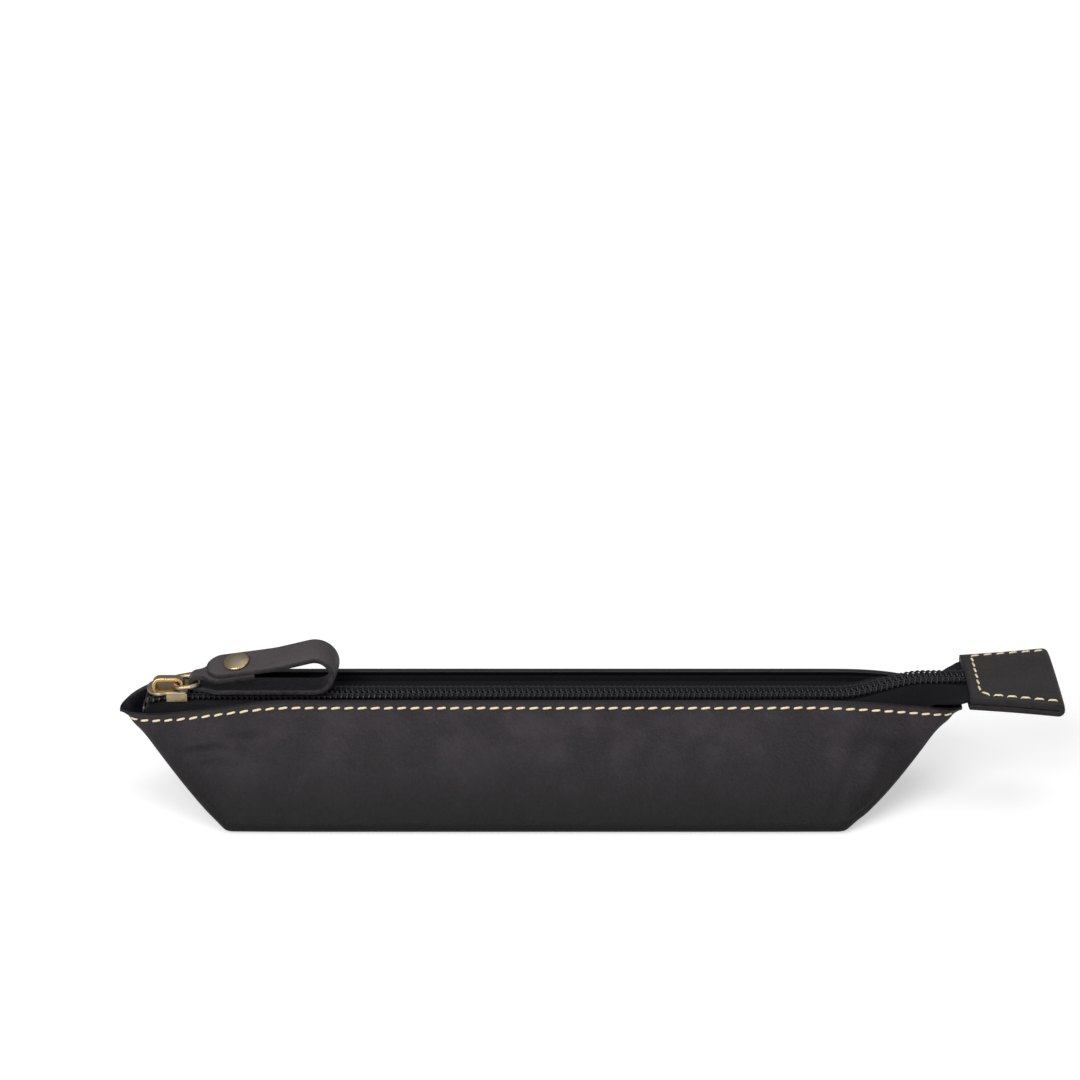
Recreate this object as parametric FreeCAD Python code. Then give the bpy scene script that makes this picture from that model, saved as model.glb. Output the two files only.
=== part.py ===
"""A zipped leather pen case: two boat-shaped leather panels, a coil zip between their rims,
a brass slider with a ring and a riveted leather strap, and a stitched leather tab on the zip's tail.

Millimetres. X runs along the case towards the tab, -Y is the front, +Z is up.
The origin is the middle of the base, on the surface that the case stands on.
"""
import FreeCAD, Part
import math
import os

from FreeCAD import Vector

# Leather body
base_length = 139.0
base_depth = 58.0
mouth_length = 195.0
mouth_width = 16.4
rim_height = 26.0
left_tip_height = 19.5
right_tip_height = 21.0
leather = 1.6
ridge_radius = 1.9
tip_ridge_radius = 1.7
tip_half_depth = 2.3
tip_half_gap = 0.15
tip_level_run = 2.2
tip_wall_height = 2.2
rim_plan_run = 50.0
rim_drop_run = 42.0

# Zip chain
tape_thickness = 0.6
tape_below_rim = 3.2
tape_inner_edge = 0.5
tape_rim_clearance = 0.95
hem_below_rim = 0.6
hem_clearance = 0.05
coil_pitch = 1.27
coil_height = 1.75
coil_half_width = 2.9
coil_heel_edge = 1.1
coil_head_reach = 0.45
coil_wire = 0.55
coil_seat = 0.05
core_diameter = 0.7
core_clearance = 0.1

# Slider
slider_length = 9.6
slider_front_width = 9.0
slider_rear_width = 8.0
slider_plate = 0.75
slider_coil_clearance = 0.22
slider_tape_clearance = 0.3
slider_flange = 0.7
slider_flange_share = 0.5
slider_from_tip = 11.3
slider_travel = 122.0
wedge_length = 3.6
wedge_width = 2.6
wedge_inset = 0.4
spread_slope = 0.5
spread_behind_wedge = 1.2
open_end_from_tip = 7.0

# Bridge and pull ring
bridge_width = 2.4
bridge_bar = 0.9
bridge_length = 7.4
bridge_front_inset = 1.2
ring_wire_radius = 0.58
ring_plate_clearance = 0.12
ring_bridge_clearance = 0.12
ring_bridge_inset = 1.4
ring_length = 5.0
ring_width = 6.8
ring_bend_radius = 1.7
ring_rise = 0.6

# Pull strap and rivet
strap_leather = 1.2
strap_width = 9.0
neck_width = 4.4
neck_taper = 4.0
fold_clearance = 0.25
strap_length = 34.2
strap_lap_length = 13.5
lap_gap = 0.05
lap_inset = 2.6
lap_slope = 8.0
loop_slope = 14.0
loop_radius = 4.6
strap_coil_clearance = 0.2
rise_bend_radius = 30.0
rivet_from_strap_end = 7.1
rivet_cap_diameter = 6.0
rivet_cap_height = 1.1
rivet_cap_rim = 0.35
rivet_base_height = 0.7
rivet_post_diameter = 2.2
rivet_socket_depth = 0.4
rivet_clearance = 0.05

# Zip tail and end tab
tail_rise = 4.0
tail_ramp_start_from_tip = 27.5
tail_spread_from_tip = 14.0
tape_root_half_width = 11.2
tape_half_width = 14.5
tab_leather = 1.4
tab_root_width = 24.0
tab_end_width = 32.0
tab_length = 21.4
tab_from_tip = 0.3
tab_gap_clearance = 0.08
tab_tape_end_clearance = 3.5

# Thread
thread = 0.6
stitch_pitch = 3.0
stitch_length = 2.2
stitch_leg = 0.45
stitch_proud = 0.42
stitch_surface_clearance = 0.02
rim_stitch_inset = 1.25
rim_stitch_end_inset = 2.5
tab_stitch_inset = 2.7
seam_pitch = 4.0
seam_stitch_width = 3.2
seam_leg_depth = 0.9
seam_stitch_height = 0.5
seam_end_inset = 5.0

# Values worked out from the sizes above
half_mouth = mouth_length / 2
half_base = base_length / 2
end_run = half_mouth - half_base
tape_z = rim_height - tape_below_rim
tape_top = tape_z + tape_thickness / 2
tape_bottom = tape_z - tape_thickness / 2
coil_bottom = tape_top + coil_seat
coil_top = coil_bottom + coil_height
slider_x = -half_mouth + slider_from_tip
slider_front = slider_x - slider_length / 2
slider_rear = slider_x + slider_length / 2
plate_top_low = coil_top + slider_coil_clearance
plate_top_high = plate_top_low + slider_plate
plate_bottom_high = tape_bottom - slider_tape_clearance
plate_bottom_low = plate_bottom_high - slider_plate
wedge_front = slider_front + wedge_inset
wedge_nose = wedge_front + wedge_length
spread_x = wedge_nose + spread_behind_wedge
open_end_x = -half_mouth + open_end_from_tip
flap_end_x = spread_x + slider_travel
flap_axis_y = mouth_width / 2 - tape_rim_clearance
ring_pivot_x = slider_front + bridge_front_inset + bridge_length - ring_bridge_inset - bridge_bar / 2
ring_pivot_z = plate_top_high + ring_plate_clearance + ring_wire_radius
ring_far_x = ring_pivot_x + ring_length
ring_far_z = ring_pivot_z + ring_rise
bridge_inner_top = ring_pivot_z + ring_wire_radius + ring_bridge_clearance
ramp_x = half_mouth - tail_ramp_start_from_tip
tab_x = half_mouth + tab_from_tip
tab_z = tape_z + tail_rise
NODES = {}


def smooth_step(share):
    """0 to 1 with level ends, for a share between 0 and 1."""
    return share * share * (3 - 2 * share)


def clamp_share(value):
    """The value held between 0 and 1."""
    return max(0.0, min(1.0, value))


def box(x0, x1, y0, y1, z0, z1):
    """A solid box between two corners."""
    return Part.makeBox(x1 - x0, y1 - y0, z1 - z0, Vector(x0, y0, z0))


def polygon_face(points):
    """A flat face with straight sides through the points."""
    return Part.Face(Part.makePolygon(points + points[:1]))


def line(start, end):
    """A straight edge."""
    return Part.LineSegment(start, end).toShape()


def arc(start, middle, end):
    """A round edge through three points."""
    return Part.Arc(start, middle, end).toShape()


def add(name, *solids):
    """Keeps the solids as one named node."""
    NODES[name] = solids[0] if len(solids) == 1 else Part.makeCompound(list(solids))


# The leather body's surfaces


def rim_at(x):
    """(half gap between the rims' inner faces, height of the rim) at a station."""
    from_tip = half_mouth - abs(x)
    tip_height = left_tip_height if x < 0 else right_tip_height
    narrow = 1 - clamp_share(from_tip / rim_plan_run)
    gap = tip_half_gap + (mouth_width / 2 - tip_half_gap) * math.sqrt(1 - narrow * narrow)
    climb = clamp_share(from_tip / rim_drop_run)
    eased = smooth_step(climb) if x < 0 else 1 - (1 - climb) * (1 - climb)
    return gap, tip_height + (rim_height - tip_height) * eased


def ridge_at(x):
    """(half depth at the ridge, height of the floor, ridge radius) at a station, outside the leather."""
    share = clamp_share((abs(x) - half_base) / (end_run - tip_level_run))
    tip_height = left_tip_height if x < 0 else right_tip_height
    half_depth = base_depth / 2 * (1 - share) + tip_half_depth * share
    floor = (tip_height - tip_wall_height) * share
    radius = ridge_radius * (1 - share) + tip_ridge_radius * share
    return half_depth, floor, radius


class Section:
    """The cut through one panel at a station, as (half depth, height) points, outside and inside."""

    def __init__(self, x):
        gap, rim_z = rim_at(x)
        half_depth, floor, self.radius = ridge_at(x)
        self.x = x
        self.ridge = (half_depth, floor)
        lean = (gap + leather - half_depth, rim_z - floor)
        length = math.hypot(*lean)
        self.rim_inner = (gap, rim_z)
        self.rim_outer = (gap + leather * length / lean[1], rim_z)
        wall = (self.rim_outer[0] - half_depth, rim_z - floor)
        self.wall_length = math.hypot(*wall)
        self.up = (wall[0] / self.wall_length, wall[1] / self.wall_length)
        self.out = (self.up[1], -self.up[0])
        inner_floor = floor + leather
        share = (rim_z - inner_floor) / self.up[1]
        self.inner_ridge = (gap - share * self.up[0], inner_floor)

    def wall_point(self, below_rim, depth=0.0):
        """The point on the wall so far below the rim, sunk so deep from the outer face."""
        return (self.rim_outer[0] - below_rim * self.up[0] - depth * self.out[0],
                self.rim_outer[1] - below_rim * self.up[1] - depth * self.out[1])

    def wall_at(self, height, depth):
        """The point at that height, sunk so deep from the outer face."""
        return self.wall_point((self.rim_outer[1] - height - depth * self.out[1]) / self.up[1], depth)

    def corner(self, point, radius):
        """Start, middle and end of the round between the floor's line and the wall's line."""
        between = math.acos(-self.up[0])
        tangent = radius / math.tan(between / 2)
        centre = (point[0] - tangent, point[1] + radius)
        middle_angle = math.atan2(point[1] - centre[1], point[0] - centre[0])
        middle = (centre[0] + radius * math.cos(middle_angle), centre[1] + radius * math.sin(middle_angle))
        end = (point[0] + tangent * self.up[0], point[1] + tangent * self.up[1])
        return (point[0] - tangent, point[1]), middle, end


def place(x, side, point):
    """A (half depth, height) point of a section on the front (-1) or back (+1) of the case."""
    return Vector(x, side * point[0], point[1])


def panel_wire(x, side):
    """The closed outline of one panel's leather at a station."""
    s = Section(x)
    floor_out, bend_out, wall_out = (place(x, side, p) for p in s.corner(s.ridge, s.radius))
    floor_in, bend_in, wall_in = (place(x, side, p) for p in s.corner(s.inner_ridge, s.radius - leather))
    seam_out = Vector(x, 0, s.ridge[1])
    seam_in = Vector(x, 0, s.inner_ridge[1])
    rim_out, rim_in = place(x, side, s.rim_outer), place(x, side, s.rim_inner)
    return Part.Wire([
        line(seam_out, floor_out), arc(floor_out, bend_out, wall_out), line(wall_out, rim_out),
        line(rim_out, rim_in), line(rim_in, wall_in), arc(wall_in, bend_in, floor_in),
        line(floor_in, seam_in), line(seam_in, seam_out)])


def stations(first, last):
    """Stations along the case between two places, close together where the ends curve most."""
    from_tip = [share * tip_level_run for share in (0.0, 0.4)]
    ridge_run = end_run - tip_level_run
    from_tip += [tip_level_run + share * ridge_run for share in (0.0, 0.07, 0.2, 0.4, 0.65, 1.0)]
    from_tip += [end_run + share * max(rim_plan_run - end_run, 1.0) for share in (0.4, 1.0)]
    places = [d - half_mouth for d in from_tip] + [half_mouth - d for d in from_tip]
    return [first] + sorted(x for x in places if first < x < last) + [last]


def make_panels():
    """Front and back panel: each a leather shell through its sections from tip to tip."""
    for name, side in (("front_panel", -1), ("back_panel", 1)):
        wires = [panel_wire(x, side) for x in stations(-half_mouth, half_mouth)]
        add(name, Part.makeLoft(wires, True, True))


# The zip chain


def hem_range():
    """Where the tapes stay sewn to the rims, before they leave for the two tips."""
    return -half_mouth + end_run / 2, half_mouth - end_run / 2


def hem_wire(x, side):
    """One tape's sewn edge at a station: a leg behind the stitches and a ledge in to the fold."""
    s = Section(x)
    near, far = leather + hem_clearance, leather + hem_clearance + tape_thickness
    ledge_high = s.rim_inner[1] - tape_below_rim + tape_thickness / 2
    ledge_low = ledge_high - tape_thickness
    ledge_edge = tape_edge(x) + tape_thickness / 2 + hem_clearance
    corners = [(ledge_edge, ledge_high), (ledge_edge, ledge_low), s.wall_at(ledge_low, near),
               s.wall_point(hem_below_rim, near), s.wall_point(hem_below_rim, far),
               s.wall_at(ledge_high, far)]
    points = [place(x, side, p) for p in corners]
    return Part.makePolygon(points + points[:1])


def spread(x):
    """How far a chain half stands from the middle where the wedge parts it, left of the slider."""
    return max(0.0, spread_x - x) * spread_slope


def tape_edge(x):
    """Half depth of a tape's outer edge, just inside the rim."""
    return rim_at(x)[0] - tape_rim_clearance


def flap_tape(side):
    """The free part of one tape over the mouth: a flat strip that follows the rim, with a round fold."""
    ellipse = Part.Ellipse(Vector(-half_mouth + rim_plan_run, 0, tape_bottom), rim_plan_run, flap_axis_y)
    bend_x = -half_mouth + rim_plan_run
    corner_angle = math.pi - math.acos((bend_x - open_end_x) / rim_plan_run)
    open_edge = flap_axis_y * math.sin(corner_angle)
    rounded = Part.ArcOfEllipse(ellipse, math.pi / 2, corner_angle).toShape()
    inner_open = tape_inner_edge + spread(open_end_x)
    corners = [(open_end_x, open_edge), (open_end_x, inner_open), (spread_x, tape_inner_edge),
               (flap_end_x, tape_inner_edge), (flap_end_x, flap_axis_y), (bend_x, flap_axis_y)]
    path = [Vector(x, y, tape_bottom) for x, y in corners]
    edges = [line(a, b) for a, b in zip(path, path[1:])] + [rounded]
    plate = Part.Face(Part.Wire(edges)).extrude(Vector(0, 0, tape_thickness))
    fold = Part.makeCylinder(tape_thickness / 2, flap_end_x - bend_x,
                             Vector(bend_x, flap_axis_y, tape_z), Vector(1, 0, 0))
    strip = plate.fuse(fold).removeSplitter()
    return mirrored(strip, side)


def mirrored(shape, side):
    """The shape on the back of the case, or its mirror image on the front."""
    return shape if side > 0 else shape.mirror(Vector(0, 0, 0), Vector(0, 1, 0))


def comb(first, last, side, phase):
    """One coil from first to last, before its bore: a heel with a tooth each pitch."""
    lead = coil_wire / 2 + phase * coil_pitch
    count = int((last - first - lead - coil_wire) / coil_pitch) + 1
    outline = [(first, coil_half_width), (first, coil_heel_edge)]
    for n in range(count):
        left = first + lead + n * coil_pitch
        right = left + coil_wire
        outline += [(left, coil_heel_edge), (left, -coil_head_reach),
                    (right, -coil_head_reach), (right, coil_heel_edge)]
    outline += [(last, coil_heel_edge), (last, coil_half_width)]
    if first < spread_x < last:
        outline.append((spread_x, coil_half_width))
    points = [Vector(x, y + spread(x), coil_bottom) for x, y in outline]
    return mirrored(polygon_face(points).extrude(Vector(0, 0, coil_height)), side)


def core_axis():
    """(half depth, height) of the filler cord's middle inside a coil's heel."""
    return (coil_half_width + coil_heel_edge) / 2, coil_bottom + coil_height / 2


def make_coil(first, last, side, phase):
    """A coil with its bore, and the filler cord in it, from where the two coils run together."""
    y, z = core_axis()
    bore_x = max(first, spread_x)
    core_x = bore_x + core_clearance
    bore = Part.makeCylinder(core_diameter / 2 + core_clearance, last - bore_x + core_clearance,
                             Vector(bore_x, side * y, z), Vector(1, 0, 0))
    core = Part.makeCylinder(core_diameter / 2, last - core_x, Vector(core_x, side * y, z), Vector(1, 0, 0))
    return comb(first, last, side, phase).cut(bore), core


def tail_wire(x, z, outer, side):
    """The outline of one tape's tail at a station."""
    corners = [(tape_inner_edge, z - tape_thickness / 2), (outer, z - tape_thickness / 2),
               (outer, z + tape_thickness / 2), (tape_inner_edge, z + tape_thickness / 2)]
    points = [place(x, side, p) for p in corners]
    return Part.makePolygon(points + points[:1])


def ramp_slope():
    """Rise of the zip's tail for each millimetre along the case."""
    return tail_rise / (tab_x - ramp_x)


def tail_tape(side):
    """One tape from the slider's open stop to its end in the tab: level, up the ramp, then flat."""
    spread_start = half_mouth - tail_spread_from_tip
    curve_x = (flap_end_x + ramp_x) / 2
    wires = [tail_wire(x, tape_z, tape_edge(x), side) for x in (flap_end_x, curve_x, ramp_x)]
    spread_z = tape_z + ramp_slope() * (spread_start - ramp_x)
    wires.append(tail_wire(spread_start, spread_z, tape_edge(spread_start), side))
    wires.append(tail_wire(tab_x, tab_z, tape_root_half_width, side))
    wires.append(tail_wire(tab_x + tab_length - tab_tape_end_clearance, tab_z, tape_half_width, side))
    return Part.makeLoft(wires, True, True)


def on_ramp(shape):
    """Tips a level shape that starts at the ramp up along it."""
    return tipped(shape, (ramp_x, tape_z), math.degrees(math.atan(ramp_slope())))


def make_zip():
    """Both tapes and coils: the parts over the mouth, the sewn hems and the tails."""
    for name, side, phase in (("front", -1, 0.0), ("rear", 1, 0.5)):
        add(name + "_tape", flap_tape(side))
        hems = [hem_wire(x, side) for x in stations(*hem_range())]
        add(name + "_tape_hem", Part.makeLoft(hems, True, True))
        coil, core = make_coil(open_end_x, flap_end_x, side, phase)
        add(name + "_coil", coil)
        add(name + "_coil_core", core)
        level = make_coil(flap_end_x, ramp_x, side, phase)
        ramp_end = ramp_x + math.hypot(tab_x - ramp_x, tail_rise) - coil_pitch
        sloped = [on_ramp(solid) for solid in make_coil(ramp_x + coil_wire, ramp_end, side, phase)]
        add(name + "_tape_tail", tail_tape(side))
        add(name + "_coil_tail", level[0], sloped[0])
        add(name + "_core_tail", level[1], sloped[1])


# The slider, its bridge and the pull ring


def slider_plan(z):
    """The slider's outline from above: a round front, shoulders and a narrower rear."""
    front, rear = slider_front_width / 2, slider_rear_width / 2
    shoulder = slider_front + front * 0.75
    flange_x = slider_rear - slider_flange_share * slider_length
    nose, left, right = Vector(slider_front, 0, z), Vector(shoulder, -front, z), Vector(shoulder, front, z)
    bow = front * math.sqrt(0.5)
    left_bow = Vector(shoulder - 0.75 * bow, -bow, z)
    right_bow = Vector(shoulder - 0.75 * bow, bow, z)
    return Part.Wire([
        arc(nose, left_bow, left), line(left, Vector(flange_x, -rear, z)),
        line(Vector(flange_x, -rear, z), Vector(slider_rear, -rear, z)),
        line(Vector(slider_rear, -rear, z), Vector(slider_rear, rear, z)),
        line(Vector(slider_rear, rear, z), Vector(flange_x, rear, z)),
        line(Vector(flange_x, rear, z), right), arc(right, right_bow, nose)])


def make_slider():
    """Two plates joined by the wedge, with flanges that keep the chain in, and the bridge on top."""
    top = Part.Face(slider_plan(plate_top_low)).extrude(Vector(0, 0, slider_plate))
    bottom = Part.Face(slider_plan(plate_bottom_low)).extrude(Vector(0, 0, slider_plate))
    wedge = polygon_face([
        Vector(wedge_front, -wedge_width / 2, plate_bottom_high), Vector(wedge_nose, 0, plate_bottom_high),
        Vector(wedge_front, wedge_width / 2, plate_bottom_high)]).extrude(
            Vector(0, 0, plate_top_low - plate_bottom_high))
    flange_x = slider_rear - slider_flange_share * slider_length
    rear = slider_rear_width / 2
    flange_low = tape_top + slider_tape_clearance
    flanges = [box(flange_x, slider_rear, *sorted((side * rear, side * (rear - slider_flange))),
                   flange_low, plate_top_low) for side in (-1, 1)]
    add("slider_body", top.multiFuse([bottom, wedge] + flanges).removeSplitter())

    left = slider_front + bridge_front_inset
    right = left + bridge_length
    top_z = bridge_inner_top + bridge_bar
    low = plate_top_high
    outer_bend = (top_z - low) * 0.8
    inner_bend = outer_bend - bridge_bar
    y = -bridge_width / 2
    arch = arch_edges(left, right, low, top_z, outer_bend, y)
    hole = arch_edges(left + bridge_bar, right - bridge_bar, low, bridge_inner_top, inner_bend, y)
    solid = Part.Face(Part.Wire(arch)).extrude(Vector(0, bridge_width, 0))
    add("slider_bridge", solid.cut(Part.Face(Part.Wire(hole)).extrude(Vector(0, bridge_width, 0))))


def arch_edges(left, right, low, high, bend, y):
    """The outline of a flat-footed arch with two round shoulders."""
    inset = bend * (1 - math.sqrt(0.5))
    corners = [Vector(left, y, low), Vector(left, y, high - bend), Vector(left + inset, y, high - inset),
               Vector(left + bend, y, high), Vector(right - bend, y, high),
               Vector(right - inset, y, high - inset), Vector(right, y, high - bend), Vector(right, y, low)]
    return [line(corners[0], corners[1]), arc(*corners[1:4]), line(corners[3], corners[4]),
            arc(*corners[4:7]), line(corners[6], corners[7]), line(corners[7], corners[0])]


def make_ring():
    """A rounded rectangle of round wire, one bar in the bridge and the other in the strap's fold."""
    length = math.hypot(ring_length, ring_rise)
    half, bend = ring_width / 2, ring_bend_radius
    inset = bend * (1 - math.sqrt(0.5))
    corners = [((0, half - bend), (inset, half - inset), (bend, half)),
               ((length - bend, half), (length - inset, half - inset), (length, half - bend)),
               ((length, bend - half), (length - inset, inset - half), (length - bend, -half)),
               ((bend, -half), (inset, inset - half), (0, bend - half))]
    start, edges = Vector(0, bend - half, 0), []
    first = start
    for corner in corners:
        turn = [Vector(x, y, 0) for x, y in corner]
        edges += [line(start, turn[0]), arc(*turn)]
        start = turn[2]
    section = Part.Wire(Part.Circle(first, Vector(0, 1, 0), ring_wire_radius).toShape())
    ring = Part.Wire(edges).makePipeShell([section], True, False)
    ring.rotate(Vector(0, 0, 0), Vector(0, 1, 0), -math.degrees(math.asin(ring_rise / length)))
    ring.translate(Vector(ring_pivot_x, 0, ring_pivot_z))
    add("pull_ring", ring)


# The pull strap and its rivet


def turned(point, angle, distance):
    """The (x, z) point so far from another in a direction, in degrees above +X."""
    return (point[0] + distance * math.cos(math.radians(angle)),
            point[1] + distance * math.sin(math.radians(angle)))


class StrapPath:
    """The strap's middle line from the front, as (x, z): lap, rise, loop, underside, fold and tongue."""

    def __init__(self):
        self.fold_radius = ring_wire_radius + fold_clearance + strap_leather / 2
        self.fold = (ring_far_x, ring_far_z)
        loop_z = coil_top + strap_coil_clearance + strap_leather / 2 + loop_radius
        loop_x = ring_far_x - self.fold_radius + strap_length - loop_radius - strap_leather
        self.loop = (loop_x, loop_z)
        apart = math.hypot(loop_x - self.fold[0], loop_z - self.fold[1])
        climb = math.degrees(math.atan2(loop_z - self.fold[1], loop_x - self.fold[0]))
        self.under = climb - math.degrees(math.asin((loop_radius - self.fold_radius) / apart))
        self.tongue_start = turned(self.fold, 90 + lap_slope, self.fold_radius)
        self.tongue_end = turned(self.tongue_start, lap_slope, strap_lap_length)
        over_tongue = turned(self.tongue_start, 90 + lap_slope, strap_leather + lap_gap)
        self.lap_start = turned(over_tongue, lap_slope, lap_inset)
        self.loop_start = turned(self.loop, 90 + loop_slope, loop_radius)
        dx = self.loop_start[0] - self.lap_start[0]
        dz = self.loop_start[1] - self.lap_start[1]
        lap, rise = math.radians(lap_slope), math.radians(loop_slope)
        reach = (dz * math.cos(rise) - dx * math.sin(rise)) / math.sin(lap - rise)
        self.bend = turned(self.lap_start, lap_slope, reach)
        tangent = rise_bend_radius * math.tan((rise - lap) / 2)
        self.bend_start = turned(self.bend, lap_slope + 180, tangent)
        self.bend_end = turned(self.bend, loop_slope, tangent)
        centre = turned(self.bend_start, lap_slope + 90, rise_bend_radius)
        self.bend_middle = turned(centre, (lap_slope + loop_slope) / 2 - 90, rise_bend_radius)

    def wire(self):
        """The middle line as one wire in the XZ plane."""
        def at(point):
            return Vector(point[0], 0, point[1])
        loop_end = turned(self.loop, self.under - 90, loop_radius)
        loop_side = turned(self.loop, (loop_slope + self.under) / 2, loop_radius)
        fold_start = turned(self.fold, self.under - 90, self.fold_radius)
        fold_side = turned(self.fold, 180 + (lap_slope + self.under) / 2, self.fold_radius)
        return Part.Wire([
            line(at(self.lap_start), at(self.bend_start)),
            arc(at(self.bend_start), at(self.bend_middle), at(self.bend_end)),
            line(at(self.bend_end), at(self.loop_start)),
            arc(at(self.loop_start), at(loop_side), at(loop_end)),
            line(at(loop_end), at(fold_start)),
            arc(at(fold_start), at(fold_side), at(self.tongue_start)),
            line(at(self.tongue_start), at(self.tongue_end))])

    def rivet_seat(self):
        """The (x, z) point on the lap's middle line where the rivet goes through."""
        return turned(self.lap_start, lap_slope, rivet_from_strap_end)


def tipped(shape, pivot, slope):
    """Turns a level shape about a Y axis so that its +X side rises by the slope in degrees."""
    shape.rotate(Vector(pivot[0], 0, pivot[1]), Vector(0, 1, 0), -slope)
    return shape


def make_strap():
    """One leather strip through the ring: full width on the lap and loop, a narrow neck in the ring."""
    path = StrapPath()
    x, z = path.lap_start
    half = strap_width / 2
    across = Vector(math.sin(math.radians(lap_slope)), 0, -math.cos(math.radians(lap_slope)))
    start = Vector(x, 0, z)
    side = Vector(0, half, 0)
    thick = across * (strap_leather / 2)
    section = Part.makePolygon([start - side - thick, start + side - thick, start + side + thick,
                                start - side + thick, start - side - thick])
    band = path.wire().makePipeShell([section], True, True)

    lap_half = strap_leather / 2 + lap_gap / 2
    blank = box(x, x + half, -strap_width, strap_width, z - lap_half, z + strap_leather)
    disc = Part.makeCylinder(half, 4 * strap_leather, Vector(x + half, 0, z - 2 * strap_leather))
    end_round = tipped(blank.cut(disc), path.lap_start, lap_slope)

    neck = neck_width / 2
    taper_start = path.fold[0] + ring_wire_radius + fold_clearance
    reach = path.fold_radius + strap_leather
    low, high = path.fold[1] - reach, path.tongue_start[1] + strap_leather / 2 + lap_gap / 2
    necks = []
    for sign in (-1, 1):
        outline = [Vector(path.fold[0] - reach, sign * neck, low), Vector(taper_start, sign * neck, low),
                   Vector(taper_start + neck_taper, sign * half, low),
                   Vector(taper_start + neck_taper, sign * strap_width, low),
                   Vector(path.fold[0] - reach, sign * strap_width, low)]
        side_cut = polygon_face(outline).extrude(Vector(0, 0, high - low))
        under_lap = box(path.fold[0] - 2 * reach, taper_start + 2 * neck_taper,
                        -2 * strap_width, 2 * strap_width, low - reach, high)
        necks.append(side_cut.common(tipped(under_lap, path.tongue_start, lap_slope)))

    seat = path.rivet_seat()
    hole_radius = rivet_post_diameter / 2 + rivet_clearance
    depth = 2 * strap_leather + lap_gap
    hole = Part.makeCylinder(hole_radius, depth + strap_leather, Vector(seat[0], 0, seat[1] - depth))
    hole = tipped(hole, seat, lap_slope)
    add("pull_strap", band.cut(end_round).cut(necks[0]).cut(necks[1]).cut(hole))
    make_rivet(seat)


def make_rivet(seat):
    """The domed cap with its post, and the lower cap that the post is set into under the tongue."""
    x, z = seat
    top = z + strap_leather / 2 + rivet_clearance
    radius, dome = rivet_cap_diameter / 2, rivet_cap_height - rivet_cap_rim
    under = z - 1.5 * strap_leather - lap_gap - rivet_clearance
    rise = Vector(x, 0, top)
    profile = Part.Wire([
        line(rise, rise + Vector(radius, 0, 0)),
        line(rise + Vector(radius, 0, 0), rise + Vector(radius, 0, rivet_cap_rim)),
        dome_edge(rise + Vector(radius, 0, rivet_cap_rim), rise + Vector(0, 0, rivet_cap_rim), dome),
        line(rise + Vector(0, 0, rivet_cap_height), rise)])
    cap = Part.Face(profile).revolve(rise, Vector(0, 0, 1), 360)
    post_end = under - rivet_socket_depth
    post = Part.makeCylinder(rivet_post_diameter / 2, top - post_end, Vector(x, 0, post_end))
    add("rivet_cap", tipped(cap.fuse(post).removeSplitter(), seat, lap_slope))
    lower = Part.makeCylinder(radius, rivet_base_height, Vector(x, 0, under - rivet_base_height))
    socket_radius = rivet_post_diameter / 2 + rivet_clearance
    socket = Part.makeCylinder(socket_radius, rivet_socket_depth + rivet_clearance,
                               Vector(x, 0, post_end - rivet_clearance))
    add("rivet_base", tipped(lower.cut(socket), seat, lap_slope))


def dome_edge(edge, foot, height):
    """The round edge from a cap's side to its crown, a share of a large circle about the cap's axis."""
    half = edge.x - foot.x
    radius = (half * half + height * height) / (2 * height)
    angle = math.asin(half / radius) / 2
    centre = foot + Vector(0, 0, height - radius)
    middle = centre + Vector(radius * math.sin(angle), 0, radius * math.cos(angle))
    return arc(edge, middle, foot + Vector(0, 0, height))


# The end tab and the thread


def make_tab():
    """Leather folded over the ends of both tapes, its fold at the far end."""
    gap = tape_thickness / 2 + tab_gap_clearance
    outer = gap + tab_leather
    y = -tab_end_width / 2
    bend_x = tab_x + tab_length - outer
    def at(x, z):
        return Vector(x, y, tab_z + z)
    outline = Part.Wire([
        line(at(tab_x, outer), at(bend_x, outer)),
        arc(at(bend_x, outer), at(bend_x + outer, 0), at(bend_x, -outer)),
        line(at(bend_x, -outer), at(tab_x, -outer)), line(at(tab_x, -outer), at(tab_x, -gap)),
        line(at(tab_x, -gap), at(bend_x, -gap)),
        arc(at(bend_x, -gap), at(bend_x + gap, 0), at(bend_x, gap)),
        line(at(bend_x, gap), at(tab_x, gap)), line(at(tab_x, gap), at(tab_x, outer))])
    folded = Part.Face(outline).extrude(Vector(0, tab_end_width, 0))
    plan = polygon_face([
        Vector(tab_x, -tab_root_width / 2, 0), Vector(tab_x + tab_length, -tab_end_width / 2, 0),
        Vector(tab_x + tab_length, tab_end_width / 2, 0), Vector(tab_x, tab_root_width / 2, 0)])
    add("end_tab", folded.common(plan.extrude(Vector(0, 0, tab_z + 2 * outer))))


def framed(shape, origin, along, out):
    """Sets a shape built along +X with +Z outwards into place, by those two directions."""
    along = Vector(along).normalize()
    out = (out - along * along.dot(out)).normalize()
    across = out.cross(along)
    matrix = FreeCAD.Matrix(along.x, across.x, out.x, origin.x, along.y, across.y, out.y, origin.y,
                            along.z, across.z, out.z, origin.z, 0, 0, 0, 1)
    placed = shape.copy()
    placed.Placement = FreeCAD.Placement(matrix)
    return placed


def thread_loop(thickness):
    """One lockstitch round a layer of that thickness: a dash on each face and two legs through it."""
    clear = stitch_surface_clearance
    outer, inner = stitch_length / 2, stitch_length / 2 - stitch_leg
    high, low = stitch_proud, -thickness - stitch_proud
    loop = box(-outer, outer, -thread / 2, thread / 2, low, high)
    return loop.cut(box(-inner, inner, -thread, thread, -thickness - clear, clear))


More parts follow.
